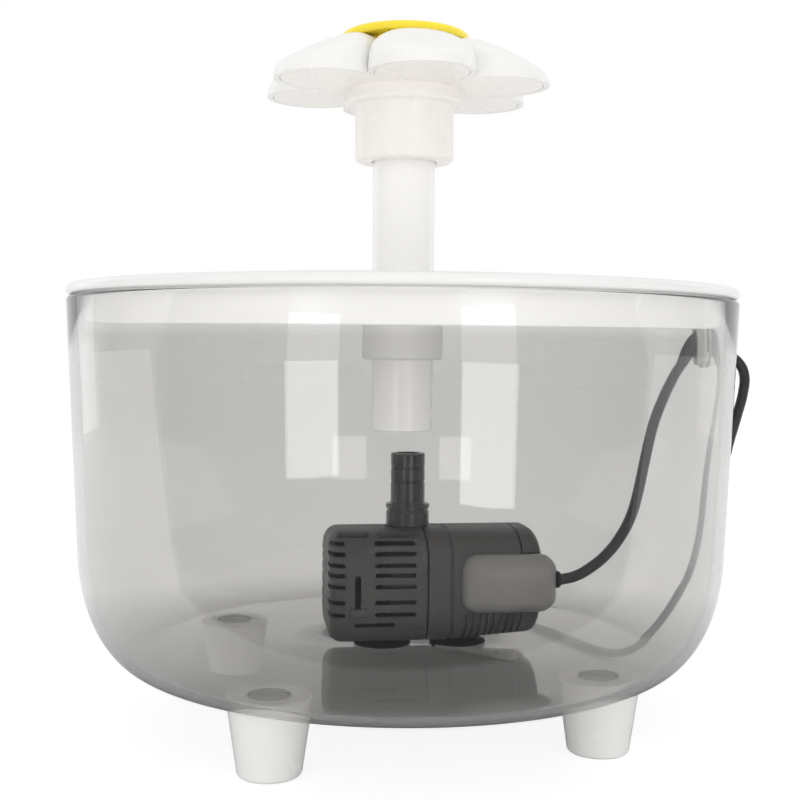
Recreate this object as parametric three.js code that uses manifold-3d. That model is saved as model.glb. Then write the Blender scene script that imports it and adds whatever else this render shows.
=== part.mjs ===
// Pet water fountain: a clear round bowl on four feet, a white drinking tray with a drain filter,
// a flower head on a long stem, and a submersible pump with its supply cord.
// Millimetres, +Z up. The origin is on the floor, on the axis of the bowl.

import * as THREE from "three";
import { mergeVertices } from "three/addons/utils/BufferGeometryUtils.js";
import Module from "manifold-3d";

const wasm = await Module();
wasm.setup();

// Clearances
const seatGap = 0.3;
const slideGap = 0.35;
const overrun = 1;
const weldDistance = 0.0005;

// Facets
const bowlSides = 44;
const tubeSides = 22;
const smallSides = 12;
const cornerSteps = 4;

// Bowl
const rimRadius = 95;
const rimZ = 121.3;
const bowlWall = 2.6;
const bowlFloorZ = 18.5;
const bowlFloorThickness = 2.5;
const bowlTaper = 2.8;
const cornerWidth = 19.2;
const shoulderRadius = rimRadius - bowlTaper;
const flatRadius = shoulderRadius - cornerWidth;
const shoulderZ = 52.5;
const gateRadius = 10;
const gateDepth = 0.6;
const studRadius = 5.4;
const studLength = 5;
const cordHoleZ = 106.7;
const cordHoleTurn = THREE.MathUtils.degToRad(5);

// Feet
const footInset = 10.2;
const footCircleRadius = flatRadius - footInset;
const footTurn = THREE.MathUtils.degToRad(58.6);
const footCount = 4;
const footTopRadius = 10.9;
const footBottomRadius = 8.4;
const footRound = 1.3;

// Tray
const trayRimHeight = 3.4;
const trayRimRound = 1.5;
const skirtPlay = 1.4;
const skirtRadius = rimRadius - bowlWall - skirtPlay;
const skirtDraft = 0.6;
const skirtWall = 2;
const skirtDrop = 8.7;
const trayWall = 2;
const dishMargin = 6.5;
const dishRadius = skirtRadius - dishMargin;
const dishOuterZ = 117.6;
const dishInnerZ = 116;
const wellOuterRadius = 28.7;
const wellWall = 1.7;
const wellFloorZ = 113.7;
const wellBaseZ = 111.7;
const wellBossRadius = 20.5;
const wellBossZ = 110.5;
const collarRadius = 11.7;
const collarBottomZ = 104.3;
const collarTopZ = 119;
const drainHoleRadius = 1.7;
const drainHoleCount = 8;
const lipInset = 16.9;
const lipDistance = dishRadius - lipInset;
const lipWidth = 6.2;
const lipDepth = 9;
const lipSplit = 0.7;
const lipSlotWidth = 3.4;
const lipSlotDepth = 6;

// Strainer and filter
const strainerPlay = 2.2;
const strainerTop = 1.6;
const strainerWall = 1.5;
const strainerSlotCount = 18;
const strainerSlotWidth = 1.6;
const strainerSlotInset = 1.4;

// Stem
const stemRadius = 9;
const stemFootRadius = 8.75;
const stemWall = 1.5;
const stemBottomZ = 84;
const stemTopZ = 176.7;

// Flower head
const flowerCollarRadius = 14.3;
const flowerCollarDepth = 15.2;
const flowerCollarZ = stemTopZ - flowerCollarDepth;
const flowerCollarRound = 1.6;
const hubRadius = 17.4;
const hubRise = 0.8;
const hubZ = stemTopZ + hubRise;
const petalCount = 6;
const petalTurn = THREE.MathUtils.degToRad(-84.5);
const petalCentre = 28;
const petalRadius = 14.5;
const petalRimRise = 5;
const petalRimZ = stemTopZ + petalRimRise;
const petalEdgeHeight = 3.2;
const petalEdgeDepth = 2.2;
const petalDome = 13.6;
const petalRidgeZ = petalRimZ + petalDome;
const petalValleyDrop = 3.8;
const petalCurve = 1.3;
const petalWall = 1.6;
const petalPlate = 1.5;
const petalSteps = 5;
const crownHoleRadius = 13.9;
const riserRadius = 10.2;
const riserDrop = 7.8;
const riserTopZ = petalRidgeZ - riserDrop;

// Flower cap
const capRadius = 18.5;
const capThickness = 2.5;
const capRound = 1.1;
const capDish = 0.6;
const capNeckLength = 9;
const capNeckBottomZ = petalRidgeZ - capNeckLength;
const capNeckWall = 1.6;
const capWindowWidth = 3.6;
const capWindowHeight = 2.2;

// Pump
const pumpOffset = 1.9;
const pumpTurn = THREE.MathUtils.degToRad(8);
const barrelHalfWidth = 17;
const barrelTopZ = 55.9;
const barrelBottomZ = 24;
const barrelTopRound = 13.5;
const barrelTopRise = 8;
const barrelFrontRound = 9;
const barrelRearRound = 13;
const barrelRearLift = 1.2;
const rotorZ = 40;
const noseX = -24;
const noseRound = 4;
const coverSeamX = 3.7;
const coverWall = 1.5;
const ringSeamX = 10.6;
const seamDepth = 0.4;
const capSeamX = 30.5;
const rearX = 36.6;
const rearRound = 2.4;
const housingWall = 2;
const voluteRadius = 13.2;
const voluteFrontX = -7;
const chamberRadius = 10.5;
const chamberBackX = 3;
const wellRadius = 6.2;
const wellTubeRadius = 7.4;
const wellEndX = 26;
const bossRadius = 6.3;
const spigotRadius = 5.2;
const spigotTopZ = 59;
const outletBore = 4.2;
const ribCount = 8;
const ribPitch = 2;
const ribWidth = 0.9;
const ribDepth = 0.6;
const ribStartX = 14;
const ribTopZ = 33;

// Intake cover slots
const slotRows = 9;
const slotPitch = 3.05;
const slotTopZ = 55;
const slotHeight = 1.25;
const slotFrontX = -19.6;
const slotNoseY = 9;
const slotBackStartX = -11.4;
const slotBackEndX = 0.3;
const topSlotEndX = -12.4;
const topSlotInset = 1.3;
const trackWidth = 1.8;
const trackHeight = 12;
const trackX = -16.1;
const trackBottomZ = 32.4;

// Flow regulator
const sliderWidth = 4.6;
const sliderHeight = 2.2;
const sliderProud = 0.9;
const sliderFoot = 0.8;

// Cable pocket
const pocketX = 13.3;
const pocketEndX = 40.4;
const pocketInnerY = -12;
const pocketOuterY = -21.5;
const pocketZ = 41.6;
const pocketHalfHeight = 8.4;
const pocketRound = 4.6;
const cordExitY = -16.5;
const cordExitZ = 42.5;
const sealLength = 1.2;
const sealRadius = 2.5;

// Rotor, shaft and bushes
const shaftRadius = 1.2;
const shaftGap = 0.2;
const magnetRadius = 5.6;
const magnetStartX = 4;
const magnetEndX = 25;
const impellerRadius = 9.4;
const impellerFrontX = -4.6;
const impellerBackX = 2.4;
const impellerDisc = 1.2;
const impellerHub = 2.8;
const bladeCount = 6;
const bladeWidth = 1.1;
const bushRadius = 2.4;
const bushLength = 3.2;
const bushFloor = 1;
const rearBushRadius = 3.4;
const plateFlange = 1.6;
const plateSpigot = 1.8;
const plateHubRadius = 3.9;
const inletRadius = 7;
const spokeCount = 3;
const spokeWidth = 1.6;

// Stator
const statorRadius = 12.6;
const statorRing = 1.6;
const statorStartX = 13.6;
const statorLength = 12;
const poleWidth = 4.6;
const poleMargin = 1;
const windingThickness = 1.2;
const windingHeight = 1.6;
const boardX = 26.4;
const boardThickness = 1.2;
const boardMargin = 0.8;

// Outlet nozzle
const nozzleRadius = 5;
const nozzleBore = 3.4;
const nozzleTopZ = 77.4;
const nozzleFlangeRadius = 6.4;
const nozzleFlange = 1.4;
const nozzleFlangeZ = 61.3;
const nozzleNeckRadius = 5.9;
const nozzleNeck = 0.6;
const nozzleGroove = 0.25;
const nozzleGrooveWidth = 0.5;
const nozzleGroovePitch = 4;
const sealRing = 0.7;

// Suction cups
const cupRadius = 8.3;
const cupLip = 0.5;
const cupNeckRadius = 2;
const cupNeckDepth = 1.3;
const frontCupX = -7.2;
const rearCupX = 15.2;

// Supply cord: a hand-laid route from the pump through the bowl's wall and round behind the bowl,
// where it meets the coil, and the short tail from the coil to the plug
const cordRadius = 1.6;
const cordSides = 8;
const cordSlack = 0.5;
const supplyCordSteps = 60;
const tailSteps = 12;
const routeRimRadius = 95;
const routeWallX = 88.6;
const cordRoute = [
  [46.4, -10.5, 42.5], [50.0, -10.2, 43.4], [54.4, -10.0, 45.9], [58.8, -9.5, 49.4],
  [63.1, -9.0, 54.8], [66.3, -8.4, 61.0], [68.1, -7.7, 67.0], [69.7, -6.9, 74.0],
  [71.3, -5.6, 80.6], [73.2, -3.6, 86.7], [76.2, -0.6, 93.0], [79.6, 2.4, 98.8],
  [83.1, 5.1, 103.4], [86.0, 6.9, 105.9], [88.6, 7.75, 106.68], [91.6, 8.01, 106.7],
  [95.6, 8.36, 106.7], [98.4, 8.6, 106.1], [101.0, 8.8, 104.0], [102.4, 8.9, 100.7],
  [102.2, 8.9, 95.8], [100.4, 8.9, 88.4], [98.1, 8.8, 80.0], [96.3, 8.5, 71.6],
  [95.2, 8.4, 63.2], [94.4, 9.0, 55.0], [93.4, 11.4, 47.2], [92.0, 15.8, 39.0],
  [89.6, 21.6, 30.2], [86.4, 28.6, 21.0], [82.6, 36.4, 12.2], [78.4, 44.2, 5.9],
  [73.9, 52.0, 2.7], [69.5, 60.3, 1.75], [64.9, 69.4, 1.7], [58.2, 83.0, 1.7],
  [51.4, 96.4, 1.7], [44.5, 109.8, 1.7], [37.6, 123.5, 1.7], [30.9, 137.4, 1.7],
];
const tailRoute = [
  [16.3, 148.6, 1.8], [9.6, 149.6, 1.8], [3.4, 151.4, 1.9], [-1.6, 155.0, 2.1],
  [-4.2, 160.0, 2.4], [-3.4, 165.6, 2.7], [0.6, 169.6, 3.1], [6.0, 171.2, 3.5],
  [11.4, 171.4, 3.75], [16.4, 171.4, 3.8],
];

// Grommet in the cord hole
const grommetWall = 1;
const grommetInside = 2.6;
const grommetFlange = 0.9;
const grommetFlangeDepth = 0.8;

// Coil of the stored cord and its tie
const coilX = 10;
const coilY = 125;
const coilRadius = 17.6;
const coilColumns = 3;
const coilLayers = 4;
const tieThickness = 0.6;
const tieWidth = 5;
const tieSlack = 0.3;
const tieTurn = THREE.MathUtils.degToRad(205);

// Plug at the end of the tail, lying along +X
const reliefLength = 11;
const reliefRadius = 2.6;
const plugLength = 22;
const plugWidth = 15.6;
const plugHeight = 7.6;
const plugRound = 2.4;
const shellLength = 12;
const shellWidth = 12;
const shellHeight = 4.5;
const shellWall = 0.4;
const shellRoot = 1.2;
const tongueHeight = 1.8;
const tongueSide = 0.5;
const tongueInset = 0.6;

// Solids and booleans

function toSolid(geometry) {
  const bare = geometry.clone();
  bare.deleteAttribute("normal");
  bare.deleteAttribute("uv");
  const merged = mergeVertices(bare, weldDistance);
  const vertProperties = merged.attributes.position.array;
  const triVerts = new Uint32Array(merged.index.array);
  return new wasm.Manifold(new wasm.Mesh({ numProp: 3, vertProperties, triVerts }));
}

function toGeometry(solid) {
  const mesh = solid.getMesh();
  const geometry = new THREE.BufferGeometry();
  geometry.setAttribute("position", new THREE.BufferAttribute(mesh.vertProperties, 3));
  geometry.setIndex(new THREE.BufferAttribute(mesh.triVerts, 1));
  return geometry;
}

function cut(base, ...tools) {
  return toGeometry(tools.reduce((solid, tool) => solid.subtract(toSolid(tool)), toSolid(base)));
}

function join(base, ...others) {
  return toGeometry(others.reduce((solid, other) => solid.add(toSolid(other)), toSolid(base)));
}

// Forms

// Turned form about Z from [radius, height] points, given up the outside and back down the inside.
function revolve(profile, sides = tubeSides) {
  const points = profile.map(([radius, z]) => new THREE.Vector2(radius, z));
  return new THREE.LatheGeometry(points, sides).rotateX(Math.PI / 2);
}

function ringOf(profile, sides = tubeSides) {
  return revolve([...profile, profile[0]], sides);
}

function disc(radius, bottom, top, sides = tubeSides) {
  return revolve([[0, bottom], [radius, bottom], [radius, top], [0, top]], sides);
}

function tube(outer, inner, bottom, top, sides = tubeSides) {
  return ringOf([[inner, bottom], [outer, bottom], [outer, top], [inner, top]], sides);
}

// Points of an elliptical arc in [radius, height], angles in degrees.
function arc(centreR, centreZ, sizeR, sizeZ, from, to, steps) {
  return Array.from({ length: steps + 1 }, (_, i) => {
    const angle = THREE.MathUtils.degToRad(from + ((to - from) * i) / steps);
    return [centreR + sizeR * Math.cos(angle), centreZ + sizeZ * Math.sin(angle)];
  });
}

function block(lowX, highX, lowY, highY, lowZ, highZ) {
  const form = new THREE.BoxGeometry(highX - lowX, highY - lowY, highZ - lowZ);
  return form.translate((lowX + highX) / 2, (lowY + highY) / 2, (lowZ + highZ) / 2);
}

// Skin over rings of equal point counts, stacked so that each runs anticlockwise seen from the last.
// A closed skin joins the last ring to the first; an open one gets a flat cap at each end.
function loft(rings, closed = false) {
  const count = rings[0].length;
  const positions = rings.flat(2);
  const faces = [];
  const spans = closed ? rings.length : rings.length - 1;
  for (let k = 0; k < spans; k += 1) {
    const upper = (k + 1) % rings.length;
    for (let i = 0; i < count; i += 1) {
      const next = (i + 1) % count;
      const a = k * count + i;
      const b = k * count + next;
      faces.push(a, b, upper * count + next, a, upper * count + next, upper * count + i);
    }
  }
  if (!closed) {
    capEnd(positions, faces, rings[0], 0, true);
    capEnd(positions, faces, rings[rings.length - 1], (rings.length - 1) * count, false);
  }
  const form = new THREE.BufferGeometry();
  form.setAttribute("position", new THREE.Float32BufferAttribute(positions, 3));
  return form.setIndex(faces);
}

function capEnd(positions, faces, ring, start, reversed) {
  const centre = [0, 1, 2].map((axis) => ring.reduce((sum, p) => sum + p[axis], 0) / ring.length);
  const hub = positions.length / 3;
  positions.push(...centre);
  ring.forEach((_, i) => {
    const here = start + i;
    const next = start + ((i + 1) % ring.length);
    faces.push(...(reversed ? [hub, next, here] : [hub, here, next]));
  });
}

// Rounded rectangle as a ring of points in the plane across X, anticlockwise seen from +X.
// The upper and lower corners may have different radii, and the upper ones may be flatter than wide.
function sectionRing(x, lowY, highY, lowZ, highZ, upperRound, lowerRound, upperRise = upperRound) {
  const corners = [
    [highY - upperRound, highZ - upperRise, upperRound, upperRise, 0],
    [lowY + upperRound, highZ - upperRise, upperRound, upperRise, 90],
    [lowY + lowerRound, lowZ + lowerRound, lowerRound, lowerRound, 180],
    [highY - lowerRound, lowZ + lowerRound, lowerRound, lowerRound, 270],
  ];
  return corners.flatMap(([y, z, across, rise, from]) =>
    arc(y, z, across, rise, from, from + 90, cornerSteps).map(([py, pz]) => [x, py, pz]),
  );
}

function moved(form, x, y, z) {
  return form.translate(x, y, z);
}

// Turns a form made along Z so that its axis lies along X at the height of the rotor.
function alongRotor(form) {
  return form.rotateY(Math.PI / 2).translate(0, 0, rotorZ);
}

function piece(name, geometry, material, parent) {
  const flat = geometry.index ? geometry.toNonIndexed() : geometry;
  flat.computeVertexNormals();
  const mesh = new THREE.Mesh(flat, material);
  mesh.name = name;
  parent.add(mesh);
  return mesh;
}

// Materials

function plastic(color, roughness, options = {}) {
  return new THREE.MeshStandardMaterial({ color, roughness, metalness: 0, ...options });
}

const smokyClear = plastic(0x8f8d8b, 0.08, { transparent: true, opacity: 0.35 });
const whitePlastic = plastic(0xf4f3ef, 0.3);
const yellowPlastic = plastic(0xf8d820, 0.3);
const greyPlastic = plastic(0x4a4a4c, 0.5);
const blackPlastic = plastic(0x1c1b1c, 0.35);
const darkRubber = plastic(0x232324, 0.7);
const milkyRubber = plastic(0xd9d8d4, 0.6);
const cordSheath = plastic(0x3c3c3e, 0.55);
const filterFoam = plastic(0x5a5d60, 0.95);
const ferrite = plastic(0x2b2a2c, 0.6);
const ceramicWhite = plastic(0xe9e6df, 0.35);
const boardGreen = plastic(0x1f5a38, 0.6);
const plateMetal = new THREE.MeshStandardMaterial({ color: 0xc4c6c8, roughness: 0.3, metalness: 1 });
const copper = new THREE.MeshStandardMaterial({ color: 0xb06a3a, roughness: 0.4, metalness: 0.9 });
const laminate = new THREE.MeshStandardMaterial({ color: 0x77797c, roughness: 0.5, metalness: 0.8 });

// Bowl and feet

const bowlInnerZ = bowlFloorZ + bowlFloorThickness;
const footTopZ = bowlFloorZ - seatGap;
const footPlaces = Array.from({ length: footCount }, (_, i) => {
  const angle = footTurn + (i * 2 * Math.PI) / footCount;
  return [footCircleRadius * Math.cos(angle), footCircleRadius * Math.sin(angle)];
});

const cordHoleRadius = cordRadius + cordSlack + grommetWall + seatGap;

function bowlWallRadius(z) {
  const share = (z - shoulderZ) / (rimZ - shoulderZ);
  return shoulderRadius + share * (rimRadius - shoulderRadius);
}

function makeBowl() {
  const steps = 8;
  const cornerR = shoulderRadius - flatRadius;
  const cornerZ = shoulderZ - bowlFloorZ;
  const lip = bowlWall / 4;
  const shell = revolve(
    [
      [0, bowlFloorZ + gateDepth],
      [gateRadius, bowlFloorZ + gateDepth],
      [gateRadius, bowlFloorZ],
      ...arc(flatRadius, shoulderZ, cornerR, cornerZ, -90, 0, steps),
      [rimRadius, rimZ - lip],
      [rimRadius - lip, rimZ],
      [rimRadius - bowlWall + lip, rimZ],
      [rimRadius - bowlWall, rimZ - lip],
      ...arc(flatRadius, shoulderZ, cornerR - bowlWall, cornerZ - bowlFloorThickness, 0, -90, steps),
      [0, bowlInnerZ],
    ],
    bowlSides,
  );
  const studs = footPlaces.map(([x, y]) =>
    moved(disc(studRadius, bowlFloorZ - studLength, bowlInnerZ - overrun, smallSides), x, y, 0),
  );
  const drill = disc(cordHoleRadius, 0, bowlWall * 4, tubeSides).rotateY(Math.PI / 2);
  drill.translate(bowlWallRadius(cordHoleZ) - bowlWall * 2, 0, cordHoleZ).rotateZ(cordHoleTurn);
  return cut(join(shell, ...studs), drill);
}

// Sleeve with a flange on each side of the bowl's wall.
function makeGrommet() {
  const outside = bowlWallRadius(cordHoleZ) + seatGap;
  const inside = outside - bowlWall - seatGap * 3;
  const bore = cordRadius + cordSlack;
  const waist = bore + grommetWall;
  const flange = waist + grommetFlange;
  const sleeve = ringOf(
    [
      [bore, inside - grommetInside],
      [waist, inside - grommetInside],
      [waist, inside - grommetFlangeDepth],
      [flange, inside - grommetFlangeDepth],
      [flange, inside],
      [waist, inside],
      [waist, outside],
      [flange, outside],
      [flange, outside + grommetFlangeDepth],
      [bore, outside + grommetFlangeDepth],
    ],
    20,
  );
  return sleeve.rotateY(Math.PI / 2).translate(0, 0, cordHoleZ).rotateZ(cordHoleTurn);
}

function makeFoot() {
  const socketRadius = studRadius + seatGap;
  const socketZ = bowlFloorZ - studLength - seatGap;
  const roundAt = footBottomRadius - footRound;
  return revolve(
    [
      [0, 0],
      ...arc(roundAt, footRound, footRound, footRound, -90, 0, 3),
      [footTopRadius, footTopZ],
      [socketRadius, footTopZ],
      [socketRadius, socketZ],
      [0, socketZ],
    ],
    20,
  );
}

// Tray, strainer and filter pad

const trayBottomZ = rimZ + seatGap;
const trayTopZ = trayBottomZ + trayRimHeight;
const skirtBottomZ = trayBottomZ - skirtDrop;
const stemBore = stemRadius + slideGap;
const wellRadiusInside = wellOuterRadius - wellWall;
const strainerRadius = wellRadiusInside - seatGap;
const strainerBottomZ = wellFloorZ + seatGap;
const strainerPlateZ = collarTopZ + seatGap;

function makeTray() {
  const skirtFoot = skirtRadius - skirtDraft;
  const rimCentre = rimRadius - trayRimRound;
  const dishWallRadius = skirtRadius - skirtWall;
  const body = ringOf(
    [
      [stemBore, collarBottomZ],
      [collarRadius, collarBottomZ],
      [collarRadius, wellBossZ],
      [wellBossRadius, wellBossZ],
      [wellBossRadius, wellBaseZ],
      [wellOuterRadius, wellBaseZ],
      [wellOuterRadius, dishInnerZ - trayWall],
      [dishRadius, dishOuterZ - trayWall],
      [skirtFoot - skirtWall, dishOuterZ - trayWall / 2],
      [skirtFoot - skirtWall, skirtBottomZ],
      [skirtFoot, skirtBottomZ],
      [skirtRadius, trayBottomZ],
      [rimCentre, trayBottomZ],
      ...arc(rimCentre, trayTopZ - trayRimRound, trayRimRound, trayRimRound, -40, 90, 4),
      [dishWallRadius + trayWall, trayTopZ],
      [dishWallRadius + trayWall / 4, trayTopZ - trayWall / 2],
      [dishWallRadius - trayWall / 2, dishOuterZ + trayWall * 1.5],
      [dishRadius, dishOuterZ + trayWall / 5],
      [dishRadius - trayWall * 3, dishOuterZ],
      [wellOuterRadius, dishInnerZ],
      [wellRadiusInside, dishInnerZ],
      [wellRadiusInside, wellFloorZ],
      [collarRadius, wellFloorZ],
      [collarRadius, collarTopZ],
      [stemBore, collarTopZ],
    ],
    bowlSides,
  );
  const lips = [];
  const slots = [];
  [-1, 1].forEach((side) => {
    [-1, 1].forEach((half) => {
      const x = side * lipDistance + (half * (lipWidth + lipSplit)) / 2;
      const halfWidth = lipWidth / 2;
      const halfDepth = lipDepth / 2;
      const top = dishInnerZ - trayWall / 4;
      lips.push(block(x - halfWidth, x + halfWidth, -halfDepth, halfDepth, wellBossZ, top));
      const slotX = lipSlotWidth / 2;
      const slotY = lipSlotDepth / 2;
      slots.push(block(x - slotX, x + slotX, -slotY, slotY, wellBossZ - overrun, trayTopZ));
    });
  });
  const drainCircle = (wellBossRadius + wellRadiusInside) / 2;
  const drains = Array.from({ length: drainHoleCount }, (_, i) => {
    const hole = disc(drainHoleRadius, wellBossZ - overrun, wellFloorZ + overrun, 8);
    return hole.translate(drainCircle, 0, 0).rotateZ((i * 2 * Math.PI) / drainHoleCount);
  });
  return cut(join(body, ...lips), ...slots, ...drains);
}

function makeStrainer() {
  const plateTop = strainerPlateZ + strainerTop;
  const hole = stemRadius + strainerPlay;
  const round = strainerTop / 2;
  const shell = ringOf(
    [
      [strainerRadius - strainerWall, strainerBottomZ],
      [strainerRadius, strainerBottomZ],
      [strainerRadius, plateTop - round],
      [strainerRadius - round, plateTop],
      [hole, plateTop],
      [hole, strainerPlateZ],
      [strainerRadius - strainerWall, strainerPlateZ],
    ],
    32,
  );
  const slotStart = collarRadius + strainerSlotInset;
  const slotEnd = strainerRadius - strainerWall - strainerSlotInset;
  const slots = Array.from({ length: strainerSlotCount }, (_, i) => {
    const half = strainerSlotWidth / 2;
    const form = block(slotStart, slotEnd, -half, half, strainerPlateZ - overrun, plateTop + overrun);
    return form.rotateZ((i * 2 * Math.PI) / strainerSlotCount);
  });
  return cut(shell, ...slots);
}

function makeFilterPad() {
  const outer = strainerRadius - strainerWall - slideGap;
  return tube(outer, collarRadius + slideGap, strainerBottomZ, strainerPlateZ - seatGap);
}

// Stem

function makeStem() {
  const bore = stemRadius - stemWall;
  const footBore = stemFootRadius - stemWall;
  return ringOf([
    [footBore, stemBottomZ],
    [stemFootRadius, stemBottomZ],
    [stemRadius, collarTopZ],
    [stemRadius, stemTopZ],
    [bore, stemTopZ],
    [bore, collarTopZ],
  ]);
}

// Flower head

// Radius of the six-lobed outline at an angle from the nearest petal's ridge.
function lobeRadius(angle) {
  const across = petalCentre * Math.sin(angle);
  return petalCentre * Math.cos(angle) + Math.sqrt(petalRadius ** 2 - across ** 2);
}

// Height of the petals' top, before the edge is rounded, at a place given from a petal's ridge.
function petalHeight(angle, radius) {
  const share = (radius - crownHoleRadius) / (lobeRadius(angle) - crownHoleRadius);
  const crown = petalRidgeZ - petalValleyDrop * Math.sin((angle * petalCount) / 2) ** 2;
  const edge = petalRimZ + petalEdgeHeight;
  return crown - (crown - edge) * Math.max(share, 0) ** petalCurve;
}

const halfPetal = Math.PI / petalCount;
const cuspAngle = halfPetal + Math.asin((petalCentre * Math.sin(halfPetal)) / petalRadius);

// Rim points of one petal as [angle from the ridge, radius], from one cusp up to the next.
function petalRim() {
  return Array.from({ length: 2 * petalSteps }, (_, i) => {
    const turn = (cuspAngle * (i - petalSteps)) / petalSteps;
    const x = petalCentre + petalRadius * Math.cos(turn);
    const y = petalRadius * Math.sin(turn);
    return [Math.atan2(y, x), Math.hypot(x, y)];
  });
}

// The same for the pocket under the petal, inset by a wall and by a margin.
function pocketRim(margin) {
  const radius = petalRadius - petalWall - margin;
  const web = petalWall / 2 + margin;
  return Array.from({ length: 2 * petalSteps }, (_, i) => {
    if (i === 0) {
      return [-halfPetal, (radius - web) / Math.sin(halfPetal)];
    }
    const turn = ((Math.PI / 2) * (i - petalSteps)) / (petalSteps - 1);
    const x = petalCentre + radius * Math.cos(turn);
    const y = radius * Math.sin(turn);
    return [Math.atan2(y, x), Math.hypot(x, y)];
  });
}

function flowerRing(rim, place) {
  return Array.from({ length: petalCount }, (_, petal) =>
    rim.map(([angle, radius], i) => {
      const [r, z] = place(angle, radius, i);
      const turn = petalTurn + angle + (petal * 2 * Math.PI) / petalCount;
      return [r * Math.cos(turn), r * Math.sin(turn), z];
    }),
  ).flat();
}

function makePetalShell() {
  const rim = petalRim();
  const pocket = pocketRim(0);
  const between = (radius, share) => crownHoleRadius + (radius - crownHoleRadius) * share;
  const skinShares = [0, 0.25, 0.5, 0.75];
  const edgeAngles = [0, 30, 60, 90];
  const outer = skinShares.map((share) =>
    flowerRing(rim, (angle, radius) => {
      const r = between(radius - petalEdgeDepth, share);
      return [r, petalHeight(angle, r)];
    }),
  );
  const edge = edgeAngles.map((degrees) =>
    flowerRing(rim, (angle, radius) => {
      const turn = THREE.MathUtils.degToRad(degrees);
      const r = radius - petalEdgeDepth * (1 - Math.sin(turn));
      return [r, petalHeight(angle, r) - petalEdgeHeight * (1 - Math.cos(turn))];
    }),
  );
  const ceilingDrop = petalWall * 1.25;
  const innerRim = flowerRing(pocket, (angle, radius) => [radius, petalRimZ]);
  const inner = [...skinShares, 1].map((share) =>
    flowerRing(pocket, (angle, radius) => {
      const r = between(radius, share);
      return [r, petalHeight(angle, r) - ceilingDrop];
    }),
  );
  return loft([...[...outer, ...edge].reverse(), ...inner, innerRim], true);
}

function makeFlowerBase() {
  const outline = pocketRim(seatGap);
  const bore = stemRadius - stemWall;
  const plateRing = (z) => flowerRing(outline, (angle, radius) => [radius, z]);
  const plate = loft([plateRing(petalRimZ), plateRing(petalRimZ + petalPlate)]);
  const socket = stemRadius + slideGap;
  const shoulderZ2 = stemTopZ + seatGap;
  const turned = ringOf([
    [socket, flowerCollarZ],
    ...arc(
      flowerCollarRadius - flowerCollarRound,
      flowerCollarZ + flowerCollarRound,
      flowerCollarRound,
      flowerCollarRound,
      -90,
      0,
      3,
    ),
    [flowerCollarRadius, hubZ],
    ...arc(hubRadius - flowerCollarRound, hubZ + flowerCollarRound, flowerCollarRound, flowerCollarRound, -90, 0, 3),
    [hubRadius, petalRimZ + petalPlate / 2],
    [riserRadius, petalRimZ + petalPlate / 2],
    [riserRadius, riserTopZ],
    [bore, riserTopZ],
    [bore, shoulderZ2],
    [socket, shoulderZ2],
  ]);
  const opening = disc(socket, petalRimZ - overrun, petalRimZ + petalPlate + overrun);
  return join(cut(plate, opening), turned);
}

function makeFlowerCap() {
  const bottom = petalRidgeZ + seatGap + seatGap / 3;
  const top = bottom + capThickness;
  const neck = crownHoleRadius - seatGap - capRound / 5;
  const inside = neck - capNeckWall;
  const shell = revolve(
    [
      [0, bottom + capRound],
      [inside, bottom + capRound],
      [inside, capNeckBottomZ],
      [neck, capNeckBottomZ],
      [neck, bottom],
      [capRadius - capRound, bottom],
      ...arc(capRadius - capRound, bottom + capRound, capRound, capRound, -60, 0, 2),
      ...arc(capRadius - capRound, top - capRound, capRound, capRound, 0, 90, 3),
      [neck, top],
      [inside, top - capDish],
      [0, top - capDish],
    ],
    24,
  );
  const windowTop = bottom - seatGap;
  const windows = Array.from({ length: petalCount }, (_, i) => {
    const half = capWindowWidth / 2;
    const form = block(inside - overrun, neck + overrun, -half, half, windowTop - capWindowHeight, windowTop);
    return form.rotateZ(petalTurn + halfPetal + (i * 2 * Math.PI) / petalCount);
  });
  return cut(shell, ...windows);
}

// Pump

function barrelRing(x, inset) {
  const rear = THREE.MathUtils.clamp((x - ringSeamX) / (rearX - ringSeamX), 0, 1);
  const lowerRound = barrelFrontRound + (barrelRearRound - barrelFrontRound) * rear;
  const lift = barrelRearLift * rear;
  return sectionRing(
    x,
    -barrelHalfWidth + inset,
    barrelHalfWidth - inset,
    barrelBottomZ + lift + inset,
    barrelTopZ - inset,
    Math.max(barrelTopRound - inset, seatGap),
    Math.max(lowerRound - inset, seatGap),
    Math.max(barrelTopRise - inset, seatGap),
  );
}

// Rings of a rounded end, from the flat face at tipX back to where the full section starts.
function roundedEnd(tipX, round, direction, inset) {
  return [90, 60, 30, 0].map((degrees) => {
    const angle = THREE.MathUtils.degToRad(degrees);
    const x = tipX + direction * round * (1 - Math.sin(angle));
    return barrelRing(x, inset + round * (1 - Math.cos(angle)));
  });
}

function slotSpans(row) {
  const past = noseX - overrun;
  if (row === 0) {
    return [[slotFrontX - noseRound / 2, topSlotEndX], [slotBackStartX + topSlotInset, slotBackEndX - topSlotInset]];
  }
  if (row === slotRows - 1) {
    return [[trackX - trackWidth / 2, slotBackStartX / 2]];
  }
  return [[past, slotFrontX], [slotBackStartX, slotBackEndX]];
}

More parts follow.
